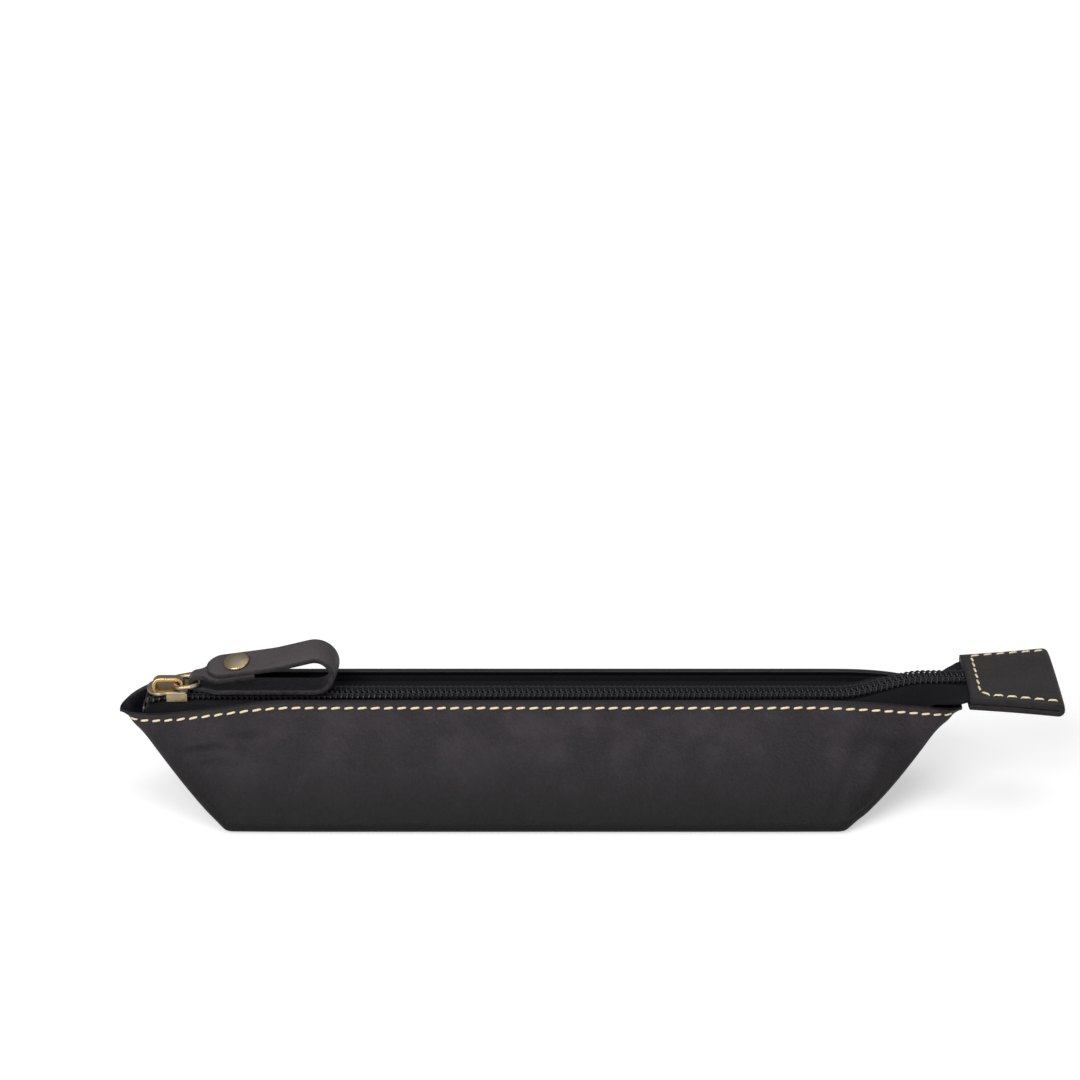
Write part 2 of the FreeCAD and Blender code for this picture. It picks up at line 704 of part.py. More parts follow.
def seam_staple():
    """One inside seam stitch: a bar across the seam and a leg into each edge of the leather."""
    half = seam_stitch_width / 2
    bar = box(-half, half, -thread / 2, thread / 2, -seam_leg_depth, seam_stitch_height)
    inner = half - thread
    return bar.cut(box(-inner, inner, -thread, thread, -seam_leg_depth, stitch_surface_clearance))


def rim_stitches(side):
    """The row of stitches along one rim, at an even pitch along the rim's own line."""
    def outside(x):
        return place(x, side, Section(x).wall_point(rim_stitch_inset))
    last = half_mouth - rim_stitch_end_inset
    hem_first, hem_last = hem_range()
    probe = stitch_pitch / 10
    x, stitches = -last, []
    while x < last:
        here, ahead = outside(x), outside(min(x + probe, last))
        s = Section(x)
        along = ahead - here
        out = place(0, side, s.out)
        hemmed = hem_first < x < hem_last
        layers = leather + (hem_clearance + tape_thickness if hemmed else 0)
        stitches.append(framed(thread_loop(layers), here, along, out))
        x += stitch_pitch * probe / along.Length
    return stitches


def tab_stitches():
    """The tab's row of stitches: along the back edge, across the open end and along the front edge."""
    top = tab_z + tape_thickness / 2 + tab_gap_clearance + tab_leather
    thickness = 2 * (top - tab_z)
    flare = (tab_end_width - tab_root_width) / 2 / tab_length
    left, right = tab_stitch_inset, tab_length - tab_stitch_inset
    near, far = (tab_root_width / 2 + flare * x - tab_stitch_inset for x in (left, right))
    turns = ((right, far), (left, near), (left, -near), (right, -far))
    corners = [Vector(tab_x + x, y, top) for x, y in turns]
    stitches = []
    for a, b in zip(corners, corners[1:]):
        run = b - a
        count = max(1, int(run.Length / stitch_pitch))
        for n in range(count):
            middle = a + run * ((n + 0.5) / count)
            stitches.append(framed(thread_loop(thickness), middle, run, Vector(0, 0, 1)))
    return stitches


def seam_row(start, end, across, out):
    """Seam stitches between two points on the leather's inner face."""
    run = end - start
    count = max(1, int(run.Length / seam_pitch))
    return [framed(seam_staple(), start + run * ((n + 0.5) / count), across, out) for n in range(count)]


def make_threads():
    """The rim rows, the tab's row and the seams inside: base, ends and boxed corners."""
    add("front_rim_thread", *rim_stitches(-1))
    add("back_rim_thread", *rim_stitches(1))
    add("tab_thread", *tab_stitches())
    across = Vector(0, 1, 0)
    base_end = half_base - seam_end_inset
    add("base_seam_thread", *seam_row(Vector(-base_end, 0, leather), Vector(base_end, 0, leather),
                                      across, Vector(0, 0, 1)))
    for name, sign in (("left", -1), ("right", 1)):
        low_x = half_base + seam_end_inset
        high_x = half_mouth - 2 * seam_end_inset
        start = Vector(sign * low_x, 0, ridge_at(sign * low_x)[1] + leather)
        end = Vector(sign * high_x, 0, ridge_at(sign * high_x)[1] + leather)
        slope = end - start
        out = Vector(-slope.z * sign, 0, slope.x * sign)
        add(name + "_end_thread", *seam_row(start, end, across, out))
        corner = Vector(sign * half_base, 0, leather)
        reach = base_depth / 2 - ridge_radius - seam_end_inset
        rise = math.atan2(slope.z, abs(slope.x))
        lean = Vector(sign * math.cos(rise / 2), 0, math.sin(rise / 2))
        facing = Vector(-sign * math.sin(rise / 2), 0, math.cos(rise / 2))
        lift = facing * (seam_stitch_width / 2 * math.sin(rise / 2))
        rows = []
        for y_sign in (-1, 1):
            y_ends = [Vector(0, y_sign * y, 0) for y in (seam_end_inset, reach + seam_end_inset)]
            rows += seam_row(corner + lift + y_ends[0], corner + lift + y_ends[1], lean, facing)
        add(name + "_corner_thread", *rows)


def main():
    """Builds every piece and writes one file for each node."""
    make_panels()
    make_zip()
    make_slider()
    make_ring()
    make_strap()
    make_tab()
    make_threads()
    os.makedirs("parts", exist_ok=True)
    for name, shape in NODES.items():
        shape.exportStep(os.path.join("parts", name + ".step"))
        print(name, len(shape.Solids), "solids", round(shape.Volume, 2), "mm3 valid:", shape.isValid())


main()
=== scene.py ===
"""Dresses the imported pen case: leather panels, a coil zip, a brass slider and pull, an end tab and stitching.

Every surface is worked out with numpy from the sizes in the property groups, in metres, in the case's own
frame: X along the case towards the end tab, -Y the front, +Z up, the origin under the middle of the base.
"""
import math

import bpy
import numpy as np
from bpy.props import FloatProperty, FloatVectorProperty, PointerProperty
from bpy.types import Operator, Panel, PropertyGroup
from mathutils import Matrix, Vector


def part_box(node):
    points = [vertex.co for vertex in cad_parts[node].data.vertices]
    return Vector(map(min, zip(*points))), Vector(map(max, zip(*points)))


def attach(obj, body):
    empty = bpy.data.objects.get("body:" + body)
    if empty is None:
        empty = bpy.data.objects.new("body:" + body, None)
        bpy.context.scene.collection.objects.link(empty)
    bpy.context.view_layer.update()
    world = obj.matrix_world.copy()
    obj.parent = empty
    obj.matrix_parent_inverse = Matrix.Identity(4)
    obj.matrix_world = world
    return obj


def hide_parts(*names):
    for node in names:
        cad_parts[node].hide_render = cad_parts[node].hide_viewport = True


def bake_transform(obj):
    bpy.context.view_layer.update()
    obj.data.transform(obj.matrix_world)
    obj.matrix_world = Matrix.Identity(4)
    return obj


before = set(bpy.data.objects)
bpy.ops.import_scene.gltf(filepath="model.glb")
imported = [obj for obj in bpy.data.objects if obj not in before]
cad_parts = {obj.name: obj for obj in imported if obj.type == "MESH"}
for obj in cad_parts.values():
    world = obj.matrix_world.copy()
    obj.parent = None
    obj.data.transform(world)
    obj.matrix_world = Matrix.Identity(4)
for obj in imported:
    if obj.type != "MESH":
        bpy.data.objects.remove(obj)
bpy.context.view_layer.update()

bl_info = {
    "name": "Zip pen case",
    "version": (1, 0, 0),
    "blender": (4, 5, 0),
    "location": "3D View > Sidebar > Pen case",
    "description": "Builds a stitched leather pen case with a coil zip around its packed frame",
    "category": "Add Mesh",
}

PANEL_LOW, PANEL_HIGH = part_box("front_panel")
SLIDER_LOW, SLIDER_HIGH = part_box("slider_body")
TAB_LOW, TAB_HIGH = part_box("end_tab")
FLAP_LOW, FLAP_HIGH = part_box("front_tape")

# Creases in the walls: start and end as (place along the case, distance below the rim), width, strength
CREASES = (
    ((-0.0875, 0.0062), (-0.0635, 0.0098), 0.0013, 1.0),
    ((-0.0835, 0.0105), (-0.0660, 0.0122), 0.0011, 0.7),
    ((-0.0760, 0.0045), (-0.0560, 0.0078), 0.0012, 0.6),
    ((0.0660, 0.0085), (0.0850, 0.0062), 0.0013, 0.6),
    ((-0.0640, 0.0190), (-0.0560, 0.0260), 0.0016, 0.5),
    ((0.0700, 0.0270), (0.0835, 0.0065), 0.0052, -2.4),
    ((-0.0830, 0.0090), (-0.0700, 0.0270), 0.0045, -0.7),
    ((0.0640, 0.0290), (0.0760, 0.0060), 0.0040, 0.7),
)

# The free tapes: points across, clearance at the outer edge, and how much of that edge always hangs
TAPE_STEPS = 17
TAPE_EDGE_GAP = 0.0004
TAPE_HANG = 0.0005

# How much the leathers shine, and the angle from which an edge shows as sharp
LEATHER_GLOSS = 0.2
SHARP_ANGLE = math.radians(42.0)


def length(name, description, default):
    """A size in metres."""
    return FloatProperty(name=name, description=description, default=default, unit="LENGTH", precision=5)


def angle(name, description, degrees):
    """An angle, given in degrees."""
    return FloatProperty(name=name, description=description, default=math.radians(degrees), unit="ROTATION")


def colour(name, description, default):
    """A linear colour."""
    return FloatVectorProperty(name=name, description=description, default=default, subtype="COLOR",
                               size=3, min=0.0, max=1.0)


class BodySizes(PropertyGroup):
    """Sizes of the two leather panels."""
    left_base: length("Left base", "Length of the boxed base left of the middle", 0.0719)
    right_base: length("Right base", "Length of the boxed base right of the middle", 0.0695)
    base_depth: length("Base depth", "Depth of the boxed base", PANEL_LOW.y * -2)
    mouth_length: length("Mouth length", "Length from tip to tip", PANEL_HIGH.x - PANEL_LOW.x)
    mouth_width: length("Mouth width", "Gap between the rims in the middle", 0.0164)
    rim_height: length("Rim height", "Height of the rims in the middle", PANEL_HIGH.z)
    left_tip_height: length("Left tip height", "Height of the rim at the slider's tip", 0.0206)
    right_tip_height: length("Right tip height", "Height of the rim at the tab's tip", 0.021)
    leather: length("Leather", "Thickness of the leather", 0.0016)
    ridge_radius: length("Ridge radius", "Round between the base and the walls", 0.0019)
    tip_ridge_radius: length("Tip ridge radius", "The same round at the tips", 0.0017)
    tip_half_depth: length("Tip half depth", "Half depth of the body at the tips", 0.0023)
    tip_half_gap: length("Tip half gap", "Half gap between the rims at the tips", 0.00015)
    tip_level_run: length("Tip level run", "Length of the level stretch at each tip", 0.0022)
    tip_wall_height: length("Tip wall height", "Height of the body near the tips", 0.0022)
    tip_point: length("Tip point", "How far the tips narrow to a point from below", 0.0014)
    rim_plan_run: length("Rim plan run", "Run over which the rims close in to a tip", 0.05)
    back_plan_run: length("Back plan run", "Run over which the back rim closes in to a tip", 0.026)
    rim_drop_run: length("Rim drop run", "Run over which the rims drop to a tip", 0.042)
    rim_round: length("Rim round", "Round of the cut rim edges", 0.0005)
    belly: length("Belly", "How far the walls swell outwards", 0.0010)
    left_end_belly: length("Left end belly", "How far the left sloping end swells outwards", 0.0008)
    right_end_belly: length("Right end belly", "How far the right sloping end swells outwards", 0.0014)
    crease_depth: length("Crease depth", "Depth of the soft creases in the walls", 0.00075)


class ZipSizes(PropertyGroup):
    """Sizes of the tapes and coils."""
    tape_thickness: length("Tape thickness", "Thickness of the woven tape", FLAP_HIGH.z - FLAP_LOW.z)
    tape_height: length("Tape height", "Height of the tapes' middle", (FLAP_HIGH.z + FLAP_LOW.z) / 2)
    tape_inner_edge: length("Tape inner edge", "Half gap between the tapes", 0.0005)
    tape_rim_clearance: length("Tape rim clearance", "Gap between a tape's fold and the rim", 0.00095)
    below_rim: length("Below rim", "How far a tape's fold lies below the rim", 0.0032)
    below_tip: length("Below tip", "How far a tape's edge lies below the rim near the tips", 0.0009)
    hem_below_rim: length("Hem below rim", "Where a tape's sewn edge starts below the rim", 0.0006)
    hem_clearance: length("Hem clearance", "Gap between a tape's sewn edge and the leather", 0.00005)
    coil_pitch: length("Coil pitch", "Distance from loop to loop", 0.00127)
    coil_height: length("Coil height", "Height of a coil", 0.00175)
    coil_half_width: length("Coil half width", "Half width of the closed chain", 0.0029)
    coil_head_reach: length("Coil head reach", "How far a loop reaches over the middle", 0.00045)
    coil_wire: length("Coil wire", "Thickness of the coil's filament", 0.00058)
    coil_seat: length("Coil seat", "Gap between a coil and its tape", 0.00005)
    cord: length("Cord", "Thickness of the filler cord in a coil", 0.0007)
    sewing: length("Sewing", "Thickness of the thread that holds a coil down", 0.00034)
    sewing_line: length("Sewing line", "Half depth of the thread over a coil", 0.0019)
    open_end: length("Open end", "Where the tapes start at the slider's tip", FLAP_LOW.x)
    flap_end: length("Flap end", "Where the free tapes meet the fixed tail", FLAP_HIGH.x)
    left_turns: FloatProperty(name="Left turns", description="Coil turns left of where the free halves meet",
                              default=43.75)
    travel: length("Travel", "How far the slider opens the zip", 0.122)
    spread_start: length("Spread start", "Where the chain starts to part in the slider", -0.0858)
    turn_down: length("Turn down", "Where the loose ends start to turn down", -0.0902)
    loose_end: length("Loose end", "Where the loose ends stop", -0.0921)
    dive_curve: FloatProperty(name="Dive curve", default=1350.0,
                              description="How sharply the loose ends turn down, per metre")
    spread_slope: FloatProperty(name="Spread slope", description="How fast the chain parts", default=0.5)
    tail_start: length("Tail start", "Where the zip's tail starts to rise", 0.0685)
    tail_end: length("Tail end", "Where the zip's tail has risen to the tab", 0.0885)
    tail_rise: length("Tail rise", "How far the zip's tail rises", 0.004)
    tail_over: length("Tail over", "Where the tapes start to pass over the rims", 0.0880)
    drape_height: length("Drape height", "Height from which the tail's edges rise outwards", 0.0213)
    drape_slope: FloatProperty(name="Drape slope", description="How fast the tail's edges rise outwards",
                               default=0.449)
    tape_root: length("Tape root", "Half width of both tapes at the tab", 0.0112)
    tape_half_width: length("Tape half width", "Half width of both tapes in the tab", 0.0145)


class PullSizes(PropertyGroup):
    """Sizes of the slider, its bridge, the ring, the strap and the rivet."""
    plate: length("Plate", "Thickness of the slider's plates", 0.00075)
    front_width: length("Front width", "Width of the slider's shoulders", 0.009)
    rear_width: length("Rear width", "Width of the slider's rear", 0.008)
    flange: length("Flange", "Thickness of the slider's side lips", 0.0007)
    flange_low: length("Flange low", "Height of the side lips' lower edges", 0.0234)
    wedge_width: length("Wedge width", "Width of the wedge that parts the chain", 0.0026)
    wedge_length: length("Wedge length", "Length of the wedge", 0.0036)
    wedge_inset: length("Wedge inset", "Wedge's distance from the slider's front", 0.0004)
    bridge_width: length("Bridge width", "Width of the bridge's bar", 0.0024)
    bridge_bar: length("Bridge bar", "Thickness of the bridge's bar", 0.0009)
    metal_round: length("Metal round", "Round of the slider's edges", 0.00028)
    ring_wire: length("Ring wire", "Thickness of the ring's wire", 0.00116)
    ring_width: length("Ring width", "Width between the ring's sides", 0.0068)
    ring_bend: length("Ring bend", "Radius of the ring's corners", 0.0017)
    strap_leather: length("Strap leather", "Thickness of the strap", 0.0012)
    strap_width: length("Strap width", "Width of the strap", 0.0078)
    strap_cup: length("Strap cup", "How far the loop's edges curl in", 0.0005)
    strap_roll: angle("Strap roll", "How far the strap's lap leans towards the front", 16.0)
    strap_length: length("Strap length", "Length of the looped strap", 0.0342)
    strap_coil_clearance: length("Strap coil clearance", "Gap between the strap and the zip", 0.0002)
    strap_round: length("Strap round", "Round of the strap's edges", 0.00032)
    neck_width: length("Neck width", "Width of the strap in the ring", 0.0044)
    neck_taper: length("Neck taper", "Length of the neck's taper", 0.004)
    fold_clearance: length("Fold clearance", "Gap between the ring and the strap's fold", 0.00025)
    lap_length: length("Lap length", "Length of the strap's tongue under the lap", 0.0135)
    lap_gap: length("Lap gap", "Gap between the lap and the tongue", 0.00005)
    lap_inset: length("Lap inset", "Where the lap starts on the tongue", 0.0026)
    lap_slope: angle("Lap slope", "Slope of the lap and the tongue", 8.0)
    loop_slope: angle("Loop slope", "Slope of the strap's rise to the loop", 14.0)
    loop_radius: length("Loop radius", "Radius of the strap's loop", 0.0044)
    rise_bend: length("Rise bend", "Radius of the bend between lap and rise", 0.03)
    rivet_place: length("Rivet place", "Rivet's distance from the lap's end", 0.0071)
    rivet_diameter: length("Rivet diameter", "Diameter of the rivet's caps", 0.006)
    rivet_height: length("Rivet height", "Height of the rivet's upper cap", 0.0011)
    rivet_base: length("Rivet base", "Height of the rivet's lower cap", 0.0011)
    rivet_post: length("Rivet post", "Thickness of the rivet's post", 0.0022)
    rivet_clearance: length("Rivet clearance", "Gap between the rivet and the leather", 0.00005)


class TabSizes(PropertyGroup):
    """Sizes of the leather tab on the zip's tail."""
    leather: length("Tab leather", "Thickness of the tab's leather", 0.0014)
    root_width: length("Root width", "Width of the tab at the case", 0.024)
    end_width: length("End width", "Width of the tab at its fold", TAB_HIGH.y - TAB_LOW.y)
    bow: length("Bow", "How far the tab's middle swells upwards", 0.0007)
    pinch: length("Pinch", "How far the tab's layers are pressed together at its edges", 0.00034)
    edge_round: length("Edge round", "Round of the tab's cut edges", 0.00035)
    stitch_inset: length("Stitch inset", "Distance of the row from the tab's other edges", 0.0025)
    stitch_end: length("Stitch end", "Distance of the row's ends from the fold", 0.0013)
    front_inset: length("Front inset", "Distance of the row from the tab's front edge", 0.0016)
    corner_cut: length("Corner cut", "Size of the row's cut front corner", 0.0016)
    tilt: FloatProperty(name="Tilt", description="How fast the tab drops towards the front", default=0.035)


class ThreadSizes(PropertyGroup):
    """Sizes of the stitching."""
    thread: length("Thread", "Thickness of the thread", 0.00052)
    pitch: length("Pitch", "Distance from stitch to stitch", 0.003)
    stitch: length("Stitch", "Length of a stitch on the leather", 0.0024)
    proud: length("Proud", "How far a stitch stands up from the leather", 0.00014)
    sink: length("Sink", "How far a stitch's ends sink into the leather", 0.00024)
    slant: angle("Slant", "How far the stitches turn from their row", 7.0)
    rim_inset: length("Rim inset", "Distance of the row from the rim", 0.00125)
    end_inset: length("End inset", "Distance of the row's ends from the tips", 0.0025)
    groove: length("Groove", "Depth of the leather under the row", 0.00014)
    seam_pitch: length("Seam pitch", "Distance from stitch to stitch in the inside seams", 0.004)
    seam_width: length("Seam width", "Length of a stitch in the inside seams", 0.0032)


class Colours(PropertyGroup):
    """Colours of the finishes."""
    leather: colour("Leather", "Grain side of the case", (0.0195, 0.0156, 0.0186))
    leather_worn: colour("Worn leather", "Rubbed parts of the case's grain", (0.0490, 0.0404, 0.0474))
    # Painted shade: the colour that the case's leather is eased down to towards the base
    leather_painted_shade: colour("Deep leather", "Less handled dye, low on the case", (0.0055, 0.0050, 0.0054))
    leather_edge: colour("Leather edge", "Cut edges of the case", (0.026, 0.0225, 0.0245))
    leather_inside: colour("Leather inside", "Flesh side of the case", (0.0055, 0.0058, 0.0095))
    # Painted sheen: the strap is the same leather as the tab, but its grain and rubbed colours are a lighter
    # copy standing in for the sheen on it
    strap: colour("Strap", "Grain side of the strap", (0.0680, 0.0595, 0.0630))
    strap_worn_and_sheen: colour("Worn strap", "Rubbed parts of the strap", (0.1020, 0.0910, 0.0955))
    tab: colour("Tab", "Grain side of the tab", (0.0325, 0.0278, 0.0300))
    tab_worn: colour("Worn tab", "Rubbed parts of the tab", (0.0520, 0.0455, 0.0485))
    strap_edge: colour("Strap edge", "Cut edges of the strap and the tab", (0.0060, 0.0056, 0.0068))
    tape: colour("Tape", "Woven zip tape", (0.004, 0.004, 0.0056))
    # Lint colour; on the tape it also colours the weave's raised yarns lighter, a painted highlight
    tape_lint: colour("Tape lint", "Raised yarns of the zip tape", (0.013, 0.013, 0.0165))
    coil: colour("Coil", "Nylon of the zip's coils", (0.007, 0.007, 0.009))
    coil_drag: colour("Coil drag", "Drag lines on the coils' nylon", (0.02, 0.02, 0.023))
    brass: colour("Brass", "Worn bright brass", (0.60, 0.42, 0.19))
    patina: colour("Patina", "Dark brass between the worn parts", (0.36, 0.32, 0.26))
    # Painted light and shade: the cream thread's lit colour on its strands' crests, then its painted shade
    # between the strands
    thread: colour("Thread", "Cream stitching", (0.93, 0.83, 0.60))
    thread_shade: colour("Thread shade", "Cream stitching between its strands", (0.70, 0.52, 0.29))
    # Painted light and shade: the dark thread's lit colour on its strands' crests, then its painted shade
    # between the strands
    seam: colour("Seam thread", "Dark thread of the inside seams", (0.045, 0.043, 0.044))
    seam_shade: colour("Seam shade", "Dark thread between its strands", (0.020, 0.019, 0.020))
    floor: colour("Floor", "Floor and backdrop", (0.86, 0.86, 0.86))


class PenCase(PropertyGroup):
    """All of the case's sizes and colours."""
    body: PointerProperty(type=BodySizes, name="Body", description="Leather panels")
    zip: PointerProperty(type=ZipSizes, name="Zip", description="Tapes and coils")
    pull: PointerProperty(type=PullSizes, name="Pull", description="Slider, ring, strap and rivet")
    tab: PointerProperty(type=TabSizes, name="Tab", description="End tab")
    stitching: PointerProperty(type=ThreadSizes, name="Stitching", description="Thread")
    colours: PointerProperty(type=Colours, name="Colours", description="Finishes")


def settings():
    """The case's sizes and colours."""
    return bpy.context.scene.pen_case


# Surfaces


def smooth(share):
    """0 to 1 with level ends: 3t^2 - 2t^3, with t held between 0 and 1."""
    share = np.clip(share, 0.0, 1.0)
    return share * share * (3 - 2 * share)


def unit(vectors):
    """The vectors at length 1."""
    return vectors / np.maximum(np.linalg.norm(vectors, axis=-1, keepdims=True), 1e-12)


def signed_power(values, power):
    """The values' sizes raised to a power, with their signs kept."""
    return np.sign(values) * np.abs(values) ** power


def run_length(points):
    """Distance along each line of points, from its first point."""
    steps = np.linalg.norm(np.diff(points, axis=-2), axis=-1)
    return np.concatenate([np.zeros(steps.shape[:-1] + (1,)), np.cumsum(steps, axis=-1)], axis=-1)


class Skin:
    """Closed skins over grids of points: copies x stations x points round each station x 3.

    Round a station the skin always closes. Along the stations it closes too where closed is true, and
    otherwise each end gets a flat cap. The map's u is the distance along, its v the distance round.
    Paints are values from 0 to 1 on the points, read by the materials.
    """

    def __init__(self, points, closed=False, **paints):
        points = np.asarray(points, float)
        self.points = points if points.ndim == 4 else points[None]
        self.closed = closed
        shape = self.points.shape[:3]
        self.paints = {name: np.broadcast_to(value, shape).ravel() for name, value in paints.items()}

    def faces(self):
        """Four corners of each side face, and the rings of the caps, turned so that faces point outwards."""
        copies, along, around = self.points.shape[:3]
        numbers = np.arange(copies * along * around).reshape(copies, along, around)
        ahead = np.roll(numbers, -1, 1) if self.closed else numbers[:, 1:]
        here = numbers if self.closed else numbers[:, :-1]
        quads = np.stack([here, ahead, np.roll(ahead, -1, 2), np.roll(here, -1, 2)], -1).reshape(-1, 4)
        caps = np.zeros((0, around), int)
        if not self.closed:
            caps = np.concatenate([numbers[:, 0], numbers[:, -1, ::-1]])
        flat = self.points.reshape(-1, 3)
        a, b, c, d = (flat[quads[:, n]] - flat.mean(0) for n in range(4))
        volume = np.sum(a * (np.cross(b, c) + np.cross(c, d)))
        return (quads, caps) if volume > 0 else (quads[:, ::-1], caps[:, ::-1])

    def chart(self):
        """u and v of each side face's corners, in metres."""
        middle = run_length(self.points.mean(2))
        ring = np.concatenate([self.points, self.points[:, :, :1]], 2)
        v = run_length(ring)
        u = np.broadcast_to(middle[:, :, None], v.shape)
        grid = np.stack([u, v], -1)
        if self.closed:
            grid = np.concatenate([grid, grid[:, :1]], 1)
        corners = np.stack([grid[:, :-1, :-1], grid[:, 1:, :-1], grid[:, 1:, 1:], grid[:, :-1, 1:]], 3)
        return corners.reshape(-1, 4, 2)


def make_piece(name, skins, material, body, replaced):
    """One object from its skins, at the origin, with its map, paints and finish, and with the nodes it replaces
    hidden.
    It rides on its body, or on none."""
    points, loops, sizes, charts = [], [], [], []
    start = 0
    for skin in skins:
        quads, caps = skin.faces()
        chart = skin.chart()
        turned = quads[0, 0] != 0
        points.append(skin.points.reshape(-1, 3))
        loops += [quads.ravel() + start, caps.ravel() + start]
        sizes += [np.full(len(quads), 4), np.full(len(caps), caps.shape[1])]
        charts += [(chart[:, ::-1] if turned else chart).reshape(-1, 2), np.zeros((caps.size, 2))]
        start += len(points[-1])
    points, loops, sizes, charts = (np.concatenate(part) for part in (points, loops, sizes, charts))
    mesh = bpy.data.meshes.new(name)
    mesh.vertices.add(len(points))
    mesh.vertices.foreach_set("co", points.astype(np.float32).ravel())
    mesh.loops.add(len(loops))
    mesh.loops.foreach_set("vertex_index", loops.astype(np.int32))
    mesh.polygons.add(len(sizes))
    mesh.polygons.foreach_set("loop_start", (np.cumsum(sizes) - sizes).astype(np.int32))
    mesh.polygons.foreach_set("use_smooth", np.ones(len(sizes), bool))
    mesh.uv_layers.new(name="surface").data.foreach_set("uv", charts.astype(np.float32).ravel())
    for paint in sorted({paint for skin in skins for paint in skin.paints}):
        values = [skin.paints.get(paint, np.zeros(skin.points.size // 3)) for skin in skins]
        attribute = mesh.attributes.new(paint, "FLOAT", "POINT")
        attribute.data.foreach_set("value", np.concatenate(values).astype(np.float32))
    mesh.update(calc_edges=True)
    if mesh.validate():
        raise RuntimeError(name + " has faces that don't fit together")
    mesh.set_sharp_from_angle(angle=SHARP_ANGLE)
    mesh.materials.append(material)
    piece = bpy.data.objects.new(name, mesh)
    bpy.context.scene.collection.objects.link(piece)
    if body:
        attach(piece, body)
    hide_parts(*replaced)
    return piece


def rounded_box(half_width, half_height, radius, corner=5):
    """A rounded rectangle round each station: quarter circles at the four corners, as (across, up) points."""
    half_width, half_height, radius = np.broadcast_arrays(*np.atleast_1d(half_width, half_height, radius))
    roundest = 0.98
    radius = np.minimum(radius, roundest * np.minimum(half_width, half_height))
    quarter = np.linspace(0, math.pi / 2, corner)
    turn = np.concatenate([quarter + n * math.pi / 2 for n in range(4)])
    side = np.repeat([[1, 1], [-1, 1], [-1, -1], [1, -1]], corner, axis=0)
    across = side[:, 0] * (half_width - radius)[:, None] + radius[:, None] * np.cos(turn)
    up = side[:, 1] * (half_height - radius)[:, None] + radius[:, None] * np.sin(turn)
    return across, up


def ribbon(path, half_width, thickness, radius, bow=0.0, roll=0.0, pinch=0.0, corner=5, spans=8):
    """A flat band carried along a path in the XZ plane: at each station a rounded rectangle stands across
    the path, its width along Y and its thickness along the path's normal. The two broad faces are divided
    into spans. Bow lifts their middle along the normal by bow * (1 - (y / half width)^2), pinch sinks their
    edges, and roll turns each section about the path. Returns the points, and paints that are 1 on the edges
    and on the face below the path."""
    edge_share, pinch_start, pinch_run, least = 0.75, 0.0022, 0.0014, 1e-9
    tangent = unit(np.gradient(path, axis=0))
    normal = np.stack([-tangent[:, 1], tangent[:, 0]], -1)
    across, up = rounded_box(half_width, thickness / 2, radius, corner)
    share = np.linspace(0, 1, spans + 1)[1:-1]

    def between(values, a, b):
        return values[:, a, None] * (1 - share) + values[:, b, None] * share

    def with_spans(values):
        top = between(values, corner - 1, corner)
        low = between(values, 3 * corner - 1, 3 * corner)
        return np.concatenate([values[:, :corner], top, values[:, corner:3 * corner], low,
                               values[:, 3 * corner:]], 1)

    edge = np.abs(across) > np.abs(across).max(1, keepdims=True) - edge_share * radius
    below = with_spans((up < 0).astype(float))
    across, up, edge = with_spans(across), with_spans(up), with_spans(edge.astype(float))
    widest = np.maximum(np.abs(across).max(1, keepdims=True), least)
    up = up + np.reshape(bow, (-1, 1)) * (1 - (across / widest) ** 2)
    up = up - np.reshape(pinch, (-1, 1)) * smooth((np.abs(across) - widest + pinch_start) / pinch_run)
    c, s = np.cos(np.reshape(roll, (-1, 1))), np.sin(np.reshape(roll, (-1, 1)))
    across, up = across * c - up * s, across * s + up * c
    x = path[:, :1] + normal[:, :1] * up
    z = path[:, 1:] + normal[:, 1:] * up
    return np.stack([x, across, z], -1), edge, below


def tube(path, radius, sides, reference, closed=False):
    """A round bar along a path: at each point a circle stands across the path, turned so that its first
    radius leans towards the reference direction."""
    if closed:
        ahead = np.roll(path, -1, 0) - np.roll(path, 1, 0)
    else:
        ahead = np.gradient(path, axis=0)
    tangent = unit(ahead)
    reference = np.broadcast_to(np.asarray(reference, float), path.shape)
    first = unit(reference - tangent * np.sum(reference * tangent, -1, keepdims=True))
    second = np.cross(tangent, first)
    turn = np.linspace(0, 2 * math.pi, sides, endpoint=False)[None, :, None]
    radius = np.reshape(radius, (-1, 1, 1))
    return path[:, None] + radius * (np.cos(turn) * first[:, None] + np.sin(turn) * second[:, None])


def revolved(profile, sides, centre, slope, roll):
    """A profile of (radius, height) points turned round an upright axis, then rolled about X and tipped about
    Y by the slope."""
    turn = np.linspace(0, 2 * math.pi, sides, endpoint=False)
    radius, height = profile[:, :1], profile[:, 1:]
    x, y, z = radius * np.cos(turn), radius * np.sin(turn), height + 0 * turn
    c, s = math.cos(roll), math.sin(roll)
    y, z = y * c - z * s, y * s + z * c
    c, s = math.cos(slope), math.sin(slope)
    return np.stack([centre[0] + c * x - s * z, y, centre[1] + s * x + c * z], -1)


# The leather body's lines


def rim_line(x, side):
    """Half distance from the middle and height of a rim: a quarter ellipse in plan near each tip, and an
    eased climb from each tip. The back rim stays wide and high for longer, as its leather curls round."""
    b = settings().body
    curl = 5
    from_tip = b.mouth_length / 2 - np.abs(x)
    tip = np.where(x < 0, b.left_tip_height, b.right_tip_height)
    narrow = 1 - np.clip(from_tip / (b.rim_plan_run if side < 0 else b.back_plan_run), 0, 1)
    gap = b.tip_half_gap + (b.mouth_width / 2 - b.tip_half_gap) * np.sqrt(1 - narrow ** 2)
    climb = np.clip(from_tip / b.rim_drop_run, 0, 1)
    if side < 0:
        eased = np.where(x < 0, smooth(climb), 1 - (1 - climb) ** 2)
    else:
        eased = 1 - (1 - climb) ** curl
    return gap, tip + (b.rim_height - tip) * eased


